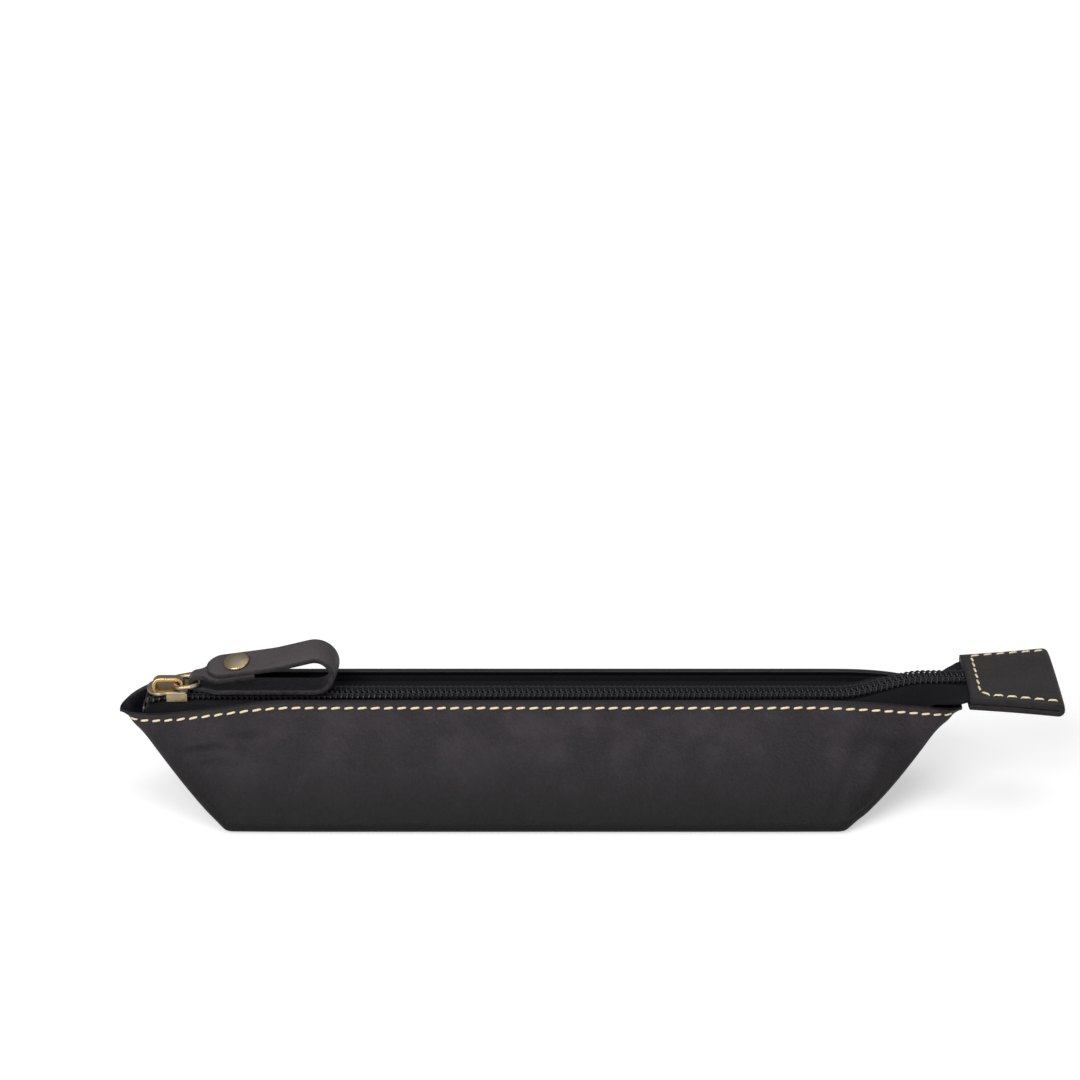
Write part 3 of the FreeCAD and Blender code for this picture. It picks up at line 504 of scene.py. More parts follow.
def tip_share(x):
    """0 along the case, rising to 1 over the last stretch before each tip, where the leather is pared."""
    b = settings().body
    pared_runs = 1.8
    run = pared_runs * b.tip_level_run
    return smooth((np.abs(x) - b.mouth_length / 2 + run) / run)


def ridge_line(x):
    """Half depth, floor height and round of the ridge: level over the base, then straight up to each tip.
    The turn at the base's end is softened, and the sloping ends swell a little in their lower half."""
    b = settings().body
    half_base = np.where(x < 0, b.left_base, b.right_base)
    run = b.mouth_length / 2 - half_base - b.tip_level_run
    bare = (np.abs(x) - half_base) / run
    soften, settle = 0.035, 0.004
    swell_end, swell_ease, hollow_depth = 0.72, 0.2, 0.6
    sharpen, draw_in = 0.92, 0.55
    share = np.clip((bare + np.sqrt(bare ** 2 + soften ** 2)) / 2 - settle, 0, 1)
    tip = np.where(x < 0, b.left_tip_height, b.right_tip_height)
    half_depth = b.base_depth / 2 * (1 - share) + b.tip_half_depth * share
    belly = np.where(x < 0, b.left_end_belly, b.right_end_belly)
    swell = belly * np.sin(math.pi * np.clip(share / swell_end, 0, 1)) * smooth(share / swell_ease)
    hollow = hollow_depth * belly * np.sin(math.pi * np.clip((share - swell_end) / (1 - swell_end), 0, 1))
    floor = np.maximum((tip - b.tip_wall_height) * share - swell + hollow, 0)
    point = tip_share(x)
    radius = (b.ridge_radius * (1 - share) + b.tip_ridge_radius * share) * (1 - sharpen * point)
    return half_depth * (1 - draw_in * point), floor + b.tip_point * point, radius


class Wall:
    """The wall of a panel at a row of stations: its foot, its rim, and the directions up and out of it."""

    def __init__(self, x, side):
        b = settings().body
        pared = 0.68
        self.gap, self.rim = rim_line(x, side)
        self.half, self.floor, self.radius = ridge_line(x)
        self.leather = b.leather * (1 - pared * tip_share(x))
        lean = np.hypot(self.gap + self.leather - self.half, self.rim - self.floor)
        self.edge = self.gap + self.leather * lean / (self.rim - self.floor)
        dy, dz = self.edge - self.half, self.rim - self.floor
        self.height = np.hypot(dy, dz)
        self.up = dy / self.height, dz / self.height
        self.out = self.up[1], -self.up[0]
        between = np.arccos(-self.up[0])
        self.tangent = self.radius / np.tan(between / 2)

    def at(self, below, depth=0.0):
        """Half depth and height of points so far below the rim, sunk so deep from the outer face."""
        return (self.edge[:, None] - below * self.up[0][:, None] - depth * self.out[0][:, None],
                self.rim[:, None] - below * self.up[1][:, None] - depth * self.out[1][:, None])

    def level(self, height, depth):
        """Half depth of the wall at a height, sunk so deep from the outer face."""
        below = (self.rim - height - depth * self.out[1]) / self.up[1]
        return self.edge - below * self.up[0] - depth * self.out[0]


def stitch_run(side):
    """Stations along a rim's row of stitches, with the distance along the row at each."""
    t = settings().stitching
    last = settings().body.mouth_length / 2 - t.end_inset
    x = np.linspace(-last, last, 4001)
    y, z = Wall(x, side).at(t.rim_inset)
    return x, run_length(np.stack([x, y[:, 0], z[:, 0]], -1))


def crease(column, below, start, end, width, strength):
    """How deep a crease is: a bell curve across a slanted, slightly wavy line, with a lower swelling beside
    it, faded out towards the line's ends."""
    overrun, wave, waves = 0.5, 0.0005, 9
    fade_rate, fade_start = 1.5, 0.2
    lip, lip_place = 0.5, 1.9
    along = np.clip((column - start[0]) / (end[0] - start[0]), -overrun, 1 + overrun)
    line = start[1] + (end[1] - start[1]) * along + wave * np.sin(along * waves)
    fade = smooth(fade_rate * along + fade_start) * smooth(fade_rate * (1 - along) + fade_start)
    off = (below - line) / width
    return strength * fade * (np.exp(-off ** 2) - lip * np.exp(-(off - lip_place) ** 2))


def slack_waves(column, share):
    """Long waves of slack leather along the wall, about -1.7 to 1.7."""
    long_wave, wander, wander_reach = 148, 61, 1.3
    short_wave, short_size, lean, lag = 233, 0.7, 3.1, 0.8
    first = np.sin(column * long_wave + wander_reach * np.sin(column * wander))
    return first + short_size * np.sin(column * short_wave + share * lean + lag)


def stitch_groove(x, below, side):
    """The groove of a row of stitches, deeper between the stitches: a bell curve across the row."""
    b, t = settings().body, settings().stitching
    width, fade, shallow = 0.0007, 0.0015, 0.55
    row_x, row_s = stitch_run(side)
    wave = np.cos(2 * math.pi * np.interp(x, row_x, row_s)[:, None] / t.pitch)
    dimple = shallow + (1 - shallow) * wave ** 2 * (wave < 0)
    sewn = smooth((b.mouth_length / 2 - t.end_inset - np.abs(x[:, None])) / fade + 0.5)
    return t.groove * dimple * sewn * np.exp(-((below - t.rim_inset) / width) ** 2)


def relief(x, below, height, side):
    """How far the wall stands out from its straight line: a soft belly, long slack waves, the groove and
    dimples of the row of stitches, and the creases."""
    b = settings().body
    slack_height, end_run = 0.00007, 0.02
    share = below / height[:, None]
    column = x[:, None]
    ends = smooth((b.mouth_length / 2 - np.abs(column)) / end_run)
    arch = np.sin(math.pi * np.clip(share, 0, 1))
    shape = (b.belly * arch ** 2 + slack_height * slack_waves(column, share) * arch) * ends
    shape = shape - stitch_groove(x, below, side)
    for line in CREASES:
        shape = shape - b.crease_depth * crease(column, below, *line)
    return shape


def panel_skin(side):
    """One leather panel as a closed shell through its sections from tip to tip: half of the base, the round
    ridge, the outer wall with its relief, the cut rim as a flattened half ellipse, and the same way back
    inside at the leather's thickness."""
    b = settings().body
    stations, base_steps, wall_steps, rim_steps, lining_steps, floor_steps = 481, 8, 42, 11, 17, 7
    gathered, wall_crowding, lining_crowding, squareness = 0.32, 1.7, 1.2, 0.55
    seam_rise, seam_width, seam_rub, sharpen = 0.00025, 0.0004, 0.0012, 0.6
    shortest, hem, seam_gap = 0.0001, 0.004, 0.00002
    share = np.linspace(-1, 1, stations)
    x = b.mouth_length / 2 * share * (1 + gathered - gathered * share ** 2)
    wall = Wall(x, side)
    run = np.linspace(0, 1, base_steps, endpoint=False)
    foot = (wall.half - wall.tangent)[:, None]
    seam = seam_rise * np.exp(-(run * foot / seam_width) ** 2)
    base = run * foot, wall.floor[:, None] + seam
    sweep = (np.arctan2(wall.out[1], wall.out[0]) + math.pi / 2)[:, None]
    turn = run * sweep - math.pi / 2
    ridge = (foot + wall.radius[:, None] * np.cos(turn),
             (wall.floor + wall.radius)[:, None] + wall.radius[:, None] * np.sin(turn))
    rim_round = (b.rim_round * (1 - sharpen * tip_share(x)))[:, None]
    tall = (wall.height - wall.tangent)[:, None] - rim_round
    below = rim_round + tall * (1 - np.linspace(0, 1, wall_steps)) ** wall_crowding
    swell = relief(x, below, wall.height, side)
    outer = wall.at(below, -swell)
    half_turn = np.linspace(0, math.pi, rim_steps)[1:-1]
    middle, thick = ((wall.edge + wall.gap) / 2)[:, None], ((wall.edge - wall.gap) / 2)[:, None]
    square = signed_power(np.cos(half_turn), squareness)
    rim = (middle + thick * square,
           wall.rim[:, None] - rim_round + rim_round * np.sin(half_turn) ** squareness)
    reach = ((wall.rim - wall.floor - wall.leather) / wall.up[1])[:, None]
    depths = np.linspace(0, 1, lining_steps) ** lining_crowding
    down = rim_round + np.maximum(reach - rim_round, shortest) * depths
    lining = np.minimum(relief(x, down, wall.height, side), 0.0) * smooth((down - hem) / hem)
    inner = (wall.gap[:, None] - down * wall.up[0][:, None] + lining * wall.out[0][:, None],
             wall.rim[:, None] - down * wall.up[1][:, None] + lining * wall.out[1][:, None])
    back = np.linspace(1, 0, floor_steps)[1:]
    inside = back * inner[0][:, -1:], inner[1][:, -1:] + 0 * back
    parts = [base, ridge, outer, rim, inner, inside]
    counts = [np.shape(part[0])[-1] for part in parts]
    shapes = [(len(x), count) for count in counts]
    y, z = (np.concatenate([np.broadcast_to(line, shape) for line, shape in zip(lines, shapes)], 1)
            for lines in zip(*parts))
    y = np.maximum(y, seam_gap)
    points = np.stack([x[:, None] + 0 * y, side * y, z], -1)
    edge = np.repeat([0.0, 0.0, 0.0, 1.0, 0.0, 0.0], counts)
    raw_seam = np.exp(-(y / seam_rub) ** 2) * (np.arange(y.shape[1]) < counts[0])
    inside_paint = np.repeat([0.0, 0.0, 0.0, 0.0, 1.0, 1.0], counts)
    return Skin(points, raw_edge=np.maximum(edge, raw_seam), inside=np.broadcast_to(inside_paint, y.shape))


# Stitches


def stitch_skin(middle, along, out, size=1.0):
    """Stitches as bent bars: along each, a circle whose radius follows (1 - |s|^3)^(1/2), raised by
    proud * (1 - s^6) and sunk by sink * s^6, turned by the slant in the leather's plane."""
    t = settings().stitching
    along = unit(along)
    out = unit(out - along * np.sum(out * along, -1, keepdims=True))
    across = np.cross(out, along)
    c, s = math.cos(t.slant), math.sin(t.slant)
    along, across = along * c + across * s, across * c - along * s
    steps, sides, blunt, flat = 8, 6, 0.3, 0.85
    share = np.linspace(-1, 1, steps)
    turn = np.linspace(0, 2 * math.pi, sides, endpoint=False)
    thick = np.maximum(np.sqrt(1 - np.abs(share) ** 3), blunt) * t.thread / 2
    lift = t.proud * (1 - share ** 6) - t.sink * share ** 6
    u = (share * t.stitch * size / 2)[:, None] + 0 * turn
    v = thick[:, None] * np.cos(turn)
    w = lift[:, None] + flat * thick[:, None] * np.sin(turn)
    frame_of = (along[:, None, None], across[:, None, None], out[:, None, None])
    offsets = sum(part[None, :, :, None] * axis for part, axis in zip((u, v, w), frame_of))
    return Skin(middle[:, None, None] + offsets)


def rim_row(side):
    """The stitches along one rim, evenly spaced along the row."""
    t = settings().stitching
    row_x, row_s = stitch_run(side)
    count = int(row_s[-1] / t.pitch)
    places = (np.arange(count) + 0.5) * row_s[-1] / count
    x = np.interp(places, row_s, row_x)
    step, bed = 0.0002, 0.6

    def on_wall(x):
        y, z = Wall(x, side).at(t.rim_inset)
        return np.stack([x, side * y[:, 0], z[:, 0]], -1)

    wall = Wall(x, side)
    out = np.stack([0 * x, side * wall.out[0], wall.out[1]], -1)
    limit = row_x[-1]
    along = on_wall(np.minimum(x + step, limit)) - on_wall(np.maximum(x - step, -limit))
    middle = on_wall(x) - unit(out) * (t.groove * bed)
    return stitch_skin(middle, along, out)


def seam_rows():
    """The inside seams' stitches by name: along the base, up each sloping end, and across each boxed corner,
    each stitch lying over the seam on the inner floor."""
    b, t = settings().body, settings().stitching
    size = t.seam_width / t.stitch
    seam_inset, slope_end, corner_half, corner_inset = 0.005, 0.019, 0.022, 0.0015

    def floor_points(x, y):
        return np.stack([x, y, ridge_line(x)[1] + b.leather], -1)

    def row(x, y, along):
        step = 0.0005
        ahead = floor_points(x + step, y) - floor_points(x - step, y)
        out = np.cross(unit(ahead), (0.0, 1.0, 0.0))
        out = out * np.sign(out[:, 2:])
        return stitch_skin(floor_points(x, y), np.broadcast_to(np.asarray(along), ahead.shape), out, size)

    def spaced(first, last):
        return np.linspace(first, last, int(round(abs(last - first) / t.seam_pitch)) + 1)

    base = spaced(-b.left_base + seam_inset, b.right_base - seam_inset)
    rows = {"base_seam": row(base, 0 * base, (0.0, 1.0, 0.0))}
    for name, side, half in (("left", -1, b.left_base), ("right", 1, b.right_base)):
        x = spaced(side * (half + seam_inset), side * (half + slope_end))
        rows[name + "_end"] = row(x, 0 * x, (0.0, 1.0, 0.0))
        y = spaced(-corner_half, corner_half)
        rows[name + "_corner"] = row(side * (half - corner_inset) + 0 * y, y, (1.0, 0.0, 0.0))
    return rows


# The zip


def tail_lift(x):
    """How far the zip's tail stands up: an eased climb from the rim to the tab."""
    z = settings().zip
    return z.tail_rise * smooth((x - z.tail_start) / (z.tail_end - z.tail_start))


def past_end(x):
    """How far a place lies beyond the slider's nose, where the loose ends turn down."""
    return np.maximum(0.0, settings().zip.turn_down - x)


def parting(x):
    """How far each half of the chain stands aside, left of the slider's wedge, closing in at its end."""
    z = settings().zip
    closing = 2.6
    return (np.maximum(0.0, z.spread_start - x) - closing * past_end(x)) * z.spread_slope


def dive(x):
    """How far the loose ends of the zip have turned down beyond the slider's nose: a parabola."""
    return settings().zip.dive_curve * past_end(x) ** 2


def strip_skin(x, y, z, thickness, side):
    """A woven strip: its middle line at each station is a row of (y, z) points, and the strip lies half its
    thickness to each side of that line."""
    line = np.stack([y, z], -1)
    tangent = unit(np.gradient(line, axis=1))
    normal = np.stack([-tangent[..., 1], tangent[..., 0]], -1)
    top, low = line + normal * thickness / 2, line - normal * thickness / 2
    ring = np.concatenate([top, low[:, ::-1]], 1)
    return Skin(np.stack([x[:, None] + 0 * ring[..., 0], side * ring[..., 0], ring[..., 1]], -1))


def tape_drop(y, level, edge, low, hold):
    """Height of a tape across its width: level out to hold, then eased down to low at its edge."""
    least = 0.0003
    share = (y - hold[:, None]) / np.maximum(edge - hold, least)[:, None]
    return level[:, None] + (low - level)[:, None] * smooth(share)


def flap_strip(first, last, side):
    """The free part of a tape: from its inner edge out to its fold inside the rim. Near the slider's tip,
    where the rim drops, its outer part hangs down to the rim beside the slider."""
    z, p = settings().zip, settings().pull
    spacing, fewest, tip_start, tip_run = 0.0008, 8, -0.055, 0.02
    x = np.linspace(first, last, max(fewest, int((last - first) / spacing)))
    gap, rim = rim_line(x, side)
    tip = smooth((tip_start - x) / tip_run)
    edge = gap - z.tape_rim_clearance + (z.tape_rim_clearance - TAPE_EDGE_GAP) * tip
    low = rim - z.below_rim * (1 - tip) - z.below_tip * tip
    inner = z.tape_inner_edge + parting(x)
    edge = np.maximum(edge, inner + TAPE_EDGE_GAP)
    y = inner[:, None] + (edge - inner)[:, None] * np.linspace(0, 1, TAPE_STEPS)
    level = z.tape_height - dive(x)
    hold = np.minimum(p.front_width / 2, edge - TAPE_HANG)
    return strip_skin(x, y, tape_drop(y, level, edge, np.minimum(low, level), hold), z.tape_thickness, side)


def hem_strip(side):
    """The sewn edge of a tape: down the inside of the wall from the rim, then in to the fold, along a
    quadratic curve between those two lines."""
    z, b = settings().zip, settings().body
    stations, steps, rounding = 260, 13, 0.45
    half_run = b.mouth_length / 4 + b.right_base / 2
    x = np.linspace(-half_run, half_run, stations)
    wall = Wall(x, side)
    depth = b.leather + z.hem_clearance + z.tape_thickness / 2
    ledge = wall.rim - z.below_rim
    top = [part[:, 0] for part in wall.at(z.hem_below_rim, depth)]
    corner = [wall.level(ledge, depth), ledge]
    end = [wall.gap - z.tape_rim_clearance + z.tape_thickness / 2 + z.hem_clearance, ledge]
    share = np.linspace(0, 1, steps)

    def bent(first, turn, last):
        first, turn, last = (part[:, None] for part in (first, turn, last))
        near = turn + (first - turn) * rounding
        far = turn + (last - turn) * rounding
        curve = near * (1 - share) ** 2 + 2 * turn * share * (1 - share) + far * share ** 2
        return np.concatenate([first, curve, last], 1)

    y, height = (bent(*parts) for parts in zip(top, corner, end))
    return strip_skin(x, y, height, z.tape_thickness, side)


def tail_strip(side):
    """The fixed end of a tape: level inside the rims, then up over the tip to the tab and wider there. Its
    outer part hangs down to the rim until it passes over it."""
    z = settings().zip
    stations, tab_inset, rise_run, drape_run, root_run, margin = 200, 0.0035, 0.012, 0.003, 0.002, 0.0002
    last = TAB_HIGH.x - tab_inset
    x = np.linspace(z.flap_end, last, stations)
    root = TAB_LOW.x
    gap, rim = rim_line(np.minimum(x, z.tail_over), side)
    high = smooth((x - z.tail_start) / rise_run)
    over = smooth((x - z.tail_over) / (root - z.tail_over))
    inside = gap - z.tape_rim_clearance + (z.tape_rim_clearance - TAPE_EDGE_GAP) * high
    edge = inside + (z.tape_root - inside) * over
    edge = edge + (z.tape_half_width - z.tape_root) * np.clip((x - root) / (last - root), 0, 1)
    level = z.tape_height + tail_lift(x)
    low = np.minimum(rim - z.below_rim * (1 - high) - z.below_tip * high, level)
    draped = z.drape_height + z.drape_slope * edge
    low = low + (draped - low) * smooth((x - z.tail_over) / drape_run)
    low = low + (level - low) * smooth((x - root + root_run) / root_run)
    y = z.tape_inner_edge + (edge - z.tape_inner_edge)[:, None] * np.linspace(0, 1, TAPE_STEPS)
    hold = np.minimum(z.coil_half_width + margin + 0 * x, edge - TAPE_HANG)
    return strip_skin(x, y, tape_drop(y, level, edge, low, hold), z.tape_thickness, side)


def chain_path(first, last, side, phase, steps=12):
    """A coil's filament between two places: a flattened helix about a line along X. Round each turn the
    half depth follows a cosine and the height a sine, both raised to a power, and X moves on by a pitch."""
    z = settings().zip
    squareness = 0.7
    whole = (last - first) / z.coil_pitch
    turns = np.linspace(0, whole, math.ceil(whole * steps) + 1)
    start = (first - z.open_end) / z.coil_pitch
    turn = 2 * math.pi * (turns + start - phase)
    x = first + turns * z.coil_pitch
    wide = (z.coil_half_width + z.coil_head_reach - z.coil_wire) / 2
    tall = (z.coil_height - z.coil_wire) / 2
    middle = (z.coil_half_width - z.coil_head_reach) / 2
    y = middle + wide * signed_power(np.cos(turn), squareness) + parting(x)
    centre = z.tape_height + z.tape_thickness / 2 + z.coil_seat + z.coil_height / 2
    height = centre + tall * signed_power(np.sin(turn), squareness) + tail_lift(x) - dive(x)
    return np.stack([x, side * y, height], -1)


def coil_skins(first, last, side, phase):
    """A coil between two places, with its filler cord and the sewing thread that waves over its loops."""
    z = settings().zip
    round_sides, sewing_sides, cord_spacing, fewest, wave_steps = 6, 5, 0.002, 6, 6
    cord_aside, sewing_sink, wave_height, lag = 0.0006, 0.3, 0.00016, 0.25
    wire = tube(chain_path(first, last, side, phase), z.coil_wire / 2, round_sides, (1, 0, 0))
    x = np.linspace(first, last, max(fewest, int((last - first) / cord_spacing)))
    seat = z.tape_height + z.tape_thickness / 2 + z.coil_seat
    heel = (z.coil_half_width - z.coil_head_reach) / 2 + cord_aside
    cord = np.stack([x, side * (heel + parting(x)), seat + z.coil_height / 2 + tail_lift(x) - dive(x)], -1)
    x = np.linspace(first, last, math.ceil(wave_steps * (last - first) / z.coil_pitch) + 1)
    wave = np.cos(2 * math.pi * ((x - z.open_end) / z.coil_pitch - phase - lag))
    top = seat + z.coil_height - sewing_sink * z.coil_wire + wave_height * wave + tail_lift(x) - dive(x)
    sewing = np.stack([x, side * (z.sewing_line + parting(x)), top], -1)
    return [Skin(wire), Skin(tube(cord, z.cord / 2, round_sides, (0, 0, 1)), lint=1.0),
            Skin(tube(sewing, z.sewing / 2, sewing_sides, (0, 0, 1)), lint=1.0)]


# The slider, its ring, the strap and the rivet


def slab(x, half_width, low, high, radius, middle=0.0):
    """A plate along X: at each station a rounded rectangle of that half width between two heights."""
    across, up = rounded_box(half_width, (high - low) / 2, radius)
    rub, up_power, out_power = 1.15, 6, 8
    raised = (np.abs(up) / np.abs(up).max()) ** up_power
    outer = (np.abs(across) / np.abs(across).max()) ** out_power
    worn = np.clip(rub * raised * outer, 0, 1)
    return Skin(np.stack([x[:, None] + 0 * across, middle + across, (low + high) / 2 + up], -1), wear=worn)


def plate_plan():
    """Stations and half widths of the slider's plates: an elliptical nose, shoulders and a narrower rear."""
    p = settings().pull
    front, rear = SLIDER_LOW.x, SLIDER_HIGH.x
    wide, narrow = p.front_width / 2, p.rear_width / 2
    nose_share, blunt, corner = 0.75, 0.12, 0.0006
    nose_steps, shoulder_steps, rear_steps = 14, 6, 12
    nose = nose_share * wide
    waist = (front + rear) / 2
    turn = np.linspace(blunt, math.pi / 2, nose_steps)
    shoulder = np.linspace(front + nose, waist, shoulder_steps)
    tail = np.linspace(waist, rear, rear_steps)
    x = np.concatenate([front + nose * (1 - np.cos(turn)), shoulder[1:], tail[1:]])
    round_nose = wide * np.sqrt(np.clip(1 - ((front + nose - x) / nose) ** 2, 0, 1))
    waisted = wide + (narrow - wide) * smooth((x - front - nose) / (waist - front - nose))
    rounded = corner - np.sqrt(np.clip(corner ** 2 - np.clip(x - rear + corner, 0, corner) ** 2, 0, None))
    return x, np.where(x < front + nose, round_nose, waisted) - rounded


def slider_skins():
    """Two plates with a wedge between them and a lip down each side of the rear half."""
    p = settings().pull
    x, half = plate_plan()
    low, high = SLIDER_LOW.z, SLIDER_HIGH.z
    lower_share, wedge_steps, wedge_blunt, wedge_round = 0.88, 8, 1.02, 0.0001
    lip_steps, lip_inset, lip_round = 10, 0.0001, 0.00022
    skins = [slab(x, half, high - p.plate, high, p.metal_round),
             slab(x, lower_share * half, low, low + p.plate, p.metal_round)]
    wedge_start = SLIDER_LOW.x + p.wedge_inset
    wedge = np.linspace(wedge_start, wedge_start + p.wedge_length, wedge_steps)
    wedge_half = p.wedge_width / 2 * (wedge_blunt - (wedge - wedge[0]) / p.wedge_length)
    skins.append(slab(wedge, wedge_half, low + p.plate / 2, high - p.plate / 2, wedge_round))
    waist = (SLIDER_LOW.x + SLIDER_HIGH.x) / 2
    lip = np.linspace(waist, SLIDER_HIGH.x - lip_inset, lip_steps)
    for side in (-1, 1):
        middle = side * (p.rear_width - p.flange) / 2
        skins.append(slab(lip, p.flange / 2 + 0 * lip, p.flange_low, high - p.plate / 2, lip_round, middle))
    return skins


def rounded_path(corners, radii, steps=8):
    """A line through corners with round turns: between two straight runs, an arc that touches both."""
    corners = np.asarray(corners, float)
    parts = [corners[:1]]
    for before, here, after, radius in zip(corners, corners[1:], corners[2:], radii):
        back, ahead = unit(before - here), unit(after - here)
        half = math.acos(float(np.clip(back @ ahead, -1, 1))) / 2
        centre = here + unit(back + ahead) * radius / math.sin(half)
        start, end = here + back * radius / math.tan(half), here + ahead * radius / math.tan(half)
        share = np.linspace(0, 1, steps)[:, None]
        bent = start + (end - start) * share - centre
        parts.append(centre + unit(bent) * radius)
    parts.append(corners[-1:])
    return np.concatenate(parts)


def evenly(path, spacing):
    """The same line with points at about that spacing."""
    run = run_length(path)
    places = np.linspace(0, run[-1], max(4, int(run[-1] / spacing)))
    return np.stack([np.interp(places, run, path[:, n]) for n in range(path.shape[1])], -1)


def bridge_skin():
    """The bridge over the slider: a flat bar carried up, over and down along an arch with round shoulders."""
    p = settings().pull
    low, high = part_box("slider_bridge")
    inset = p.bridge_bar / 2
    left, right, top = low.x + inset, high.x - inset, high.z - inset
    bend_share, bend_steps, spacing, foot_flare = 0.8, 10, 0.00025, 0.3
    bend = bend_share * (high.z - low.z) - inset
    foot = low.z - p.plate / 2
    path = rounded_path([(left, foot), (left, top), (right, top), (right, foot)], (bend, bend), bend_steps)
    path = evenly(path, spacing)
    rise = smooth((path[:, 1] - low.z) / (top - low.z))
    half = p.bridge_width / 2 * (1 + foot_flare - foot_flare * rise)
    points, edge, _ = ribbon(path, half, p.bridge_bar, p.metal_round)
    return Skin(points, wear=edge)


def ring_place():
    """The ring's pivot in the bridge and its far bar in the strap, as (x, z)."""
    p = settings().pull
    low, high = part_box("pull_ring")
    wire = p.ring_wire / 2
    return np.array([low.x + wire, low.z + wire]), np.array([high.x - wire, high.z - wire])


def ring_skin():
    """The ring: round wire carried round a rounded rectangle that rises towards its far bar."""
    p = settings().pull
    near, far = ring_place()
    reach = float(np.hypot(*(far - near)))
    half, bend = p.ring_width / 2, p.ring_bend
    bend_steps, spacing, sides = 10, 0.0003, 12
    corners = [(0, 0), (0, half), (reach, half), (reach, -half), (0, -half), (0, 0)]
    plan = evenly(rounded_path(corners, [bend] * 4, bend_steps), spacing)[:-1]
    along = (far - near) / reach
    path = np.stack([near[0] + plan[:, 0] * along[0], plan[:, 1], near[1] + plan[:, 0] * along[1]], -1)
    points = tube(path, p.ring_wire / 2, sides, (-along[1], 0, along[0]), closed=True)
    outer = np.cos(np.linspace(0, 2 * math.pi, sides, endpoint=False))
    return Skin(points, closed=True, wear=np.broadcast_to(np.clip(outer, 0, 1) ** 2, points.shape[:2]))


def away(point, direction, distance):
    """The (x, z) point so far from another, in a direction in radians above +X."""
    return np.array(point) + distance * np.array([math.cos(direction), math.sin(direction)])


def round_turn(centre, radius, first, last, steps):
    """Points on an arc from one angle to another."""
    turn = np.linspace(first, last, steps)
    return np.asarray(centre) + radius * np.stack([np.cos(turn), np.sin(turn)], -1)


class StrapLine:
    """The strap's middle line seen from the front, as (x, z): lap, rise, loop, underside, fold and tongue."""

    def __init__(self):
        p, z = settings().pull, settings().zip
        rise_steps, loop_steps, fold_steps, spacing = 14, 40, 26, 0.0003
        fold = ring_place()[1]
        self.fold = fold
        self.fold_radius = p.ring_wire / 2 + p.fold_clearance + p.strap_leather / 2
        coil_top = z.tape_height + z.tape_thickness / 2 + z.coil_seat + z.coil_height
        loop = np.array([fold[0] - self.fold_radius + p.strap_length - p.loop_radius - p.strap_leather,
                         coil_top + p.strap_coil_clearance + p.strap_leather / 2 + p.loop_radius])
        apart, climb = float(np.hypot(*(loop - fold))), math.atan2(*(loop - fold)[::-1])
        under = climb - math.asin((p.loop_radius - self.fold_radius) / apart)
        quarter = math.pi / 2
        tongue = away(fold, quarter + p.lap_slope, self.fold_radius)
        over = away(tongue, quarter + p.lap_slope, p.strap_leather + p.lap_gap)
        self.lap = away(over, p.lap_slope, p.lap_inset)
        rise_end = away(loop, quarter + p.loop_slope, p.loop_radius)
        dx, dz = rise_end - self.lap
        aside = dz * math.cos(p.loop_slope) - dx * math.sin(p.loop_slope)
        bend = away(self.lap, p.lap_slope, aside / math.sin(p.lap_slope - p.loop_slope))
        lap_run = rounded_path([self.lap, bend, rise_end], [p.rise_bend], rise_steps)
        loop_run = round_turn(loop, p.loop_radius, quarter + p.loop_slope, under - quarter, loop_steps)
        fold_end = p.lap_slope + quarter - 2 * math.pi
        fold_run = round_turn(fold, self.fold_radius, under - quarter, fold_end, fold_steps)
        self.tongue_end = away(tongue, p.lap_slope, p.lap_length)
        whole = [lap_run, loop_run[1:], fold_run, self.tongue_end[None]]
        self.points = evenly(np.concatenate(whole), spacing)
        self.lap_length = run_length(lap_run)[-1]
        self.loop_length = run_length(loop_run)[-1]
        self.rivet = away(self.lap, p.lap_slope, p.rivet_place)


def strap_skin():
    """The strap: a flat band along its line, round at the lap's end and narrow where it folds in the ring."""
    p = settings().pull
    line = StrapLine()
    run = run_length(line.points)
    half = p.strap_width / 2
    blunt, tongue_run, raw_run = 0.004, 0.004, 0.0006
    neck_start = line.fold[0] + p.ring_wire / 2 + p.fold_clearance
    widen = smooth((line.points[:, 0] - neck_start) / p.neck_taper)
    necked = p.neck_width / 2 + (half - p.neck_width / 2) * widen
    rounded = half * np.sqrt(np.clip(1 - (1 - np.clip(run / half, blunt, 1)) ** 2, 0, 1))
    width = np.where(run < line.lap_length, rounded, necked)
    lap_roll = 1 - smooth((run - line.lap_length) / line.loop_length)
    tongue_roll = smooth((run - run[-1] + p.lap_length) / tongue_run)
    roll = p.strap_roll * np.maximum(lap_roll, tongue_roll)
    cup = p.strap_cup * lap_roll * smooth((run - p.rivet_place - p.strap_width / 2) / p.strap_width)
    points, edge, below = ribbon(line.points, width, p.strap_leather, p.strap_round, cup, roll, spans=10)
    end = np.exp(-(run / raw_run) ** 2)[:, None]
    return Skin(points, raw_edge=np.maximum(edge, end), inside=below * (1 - edge))


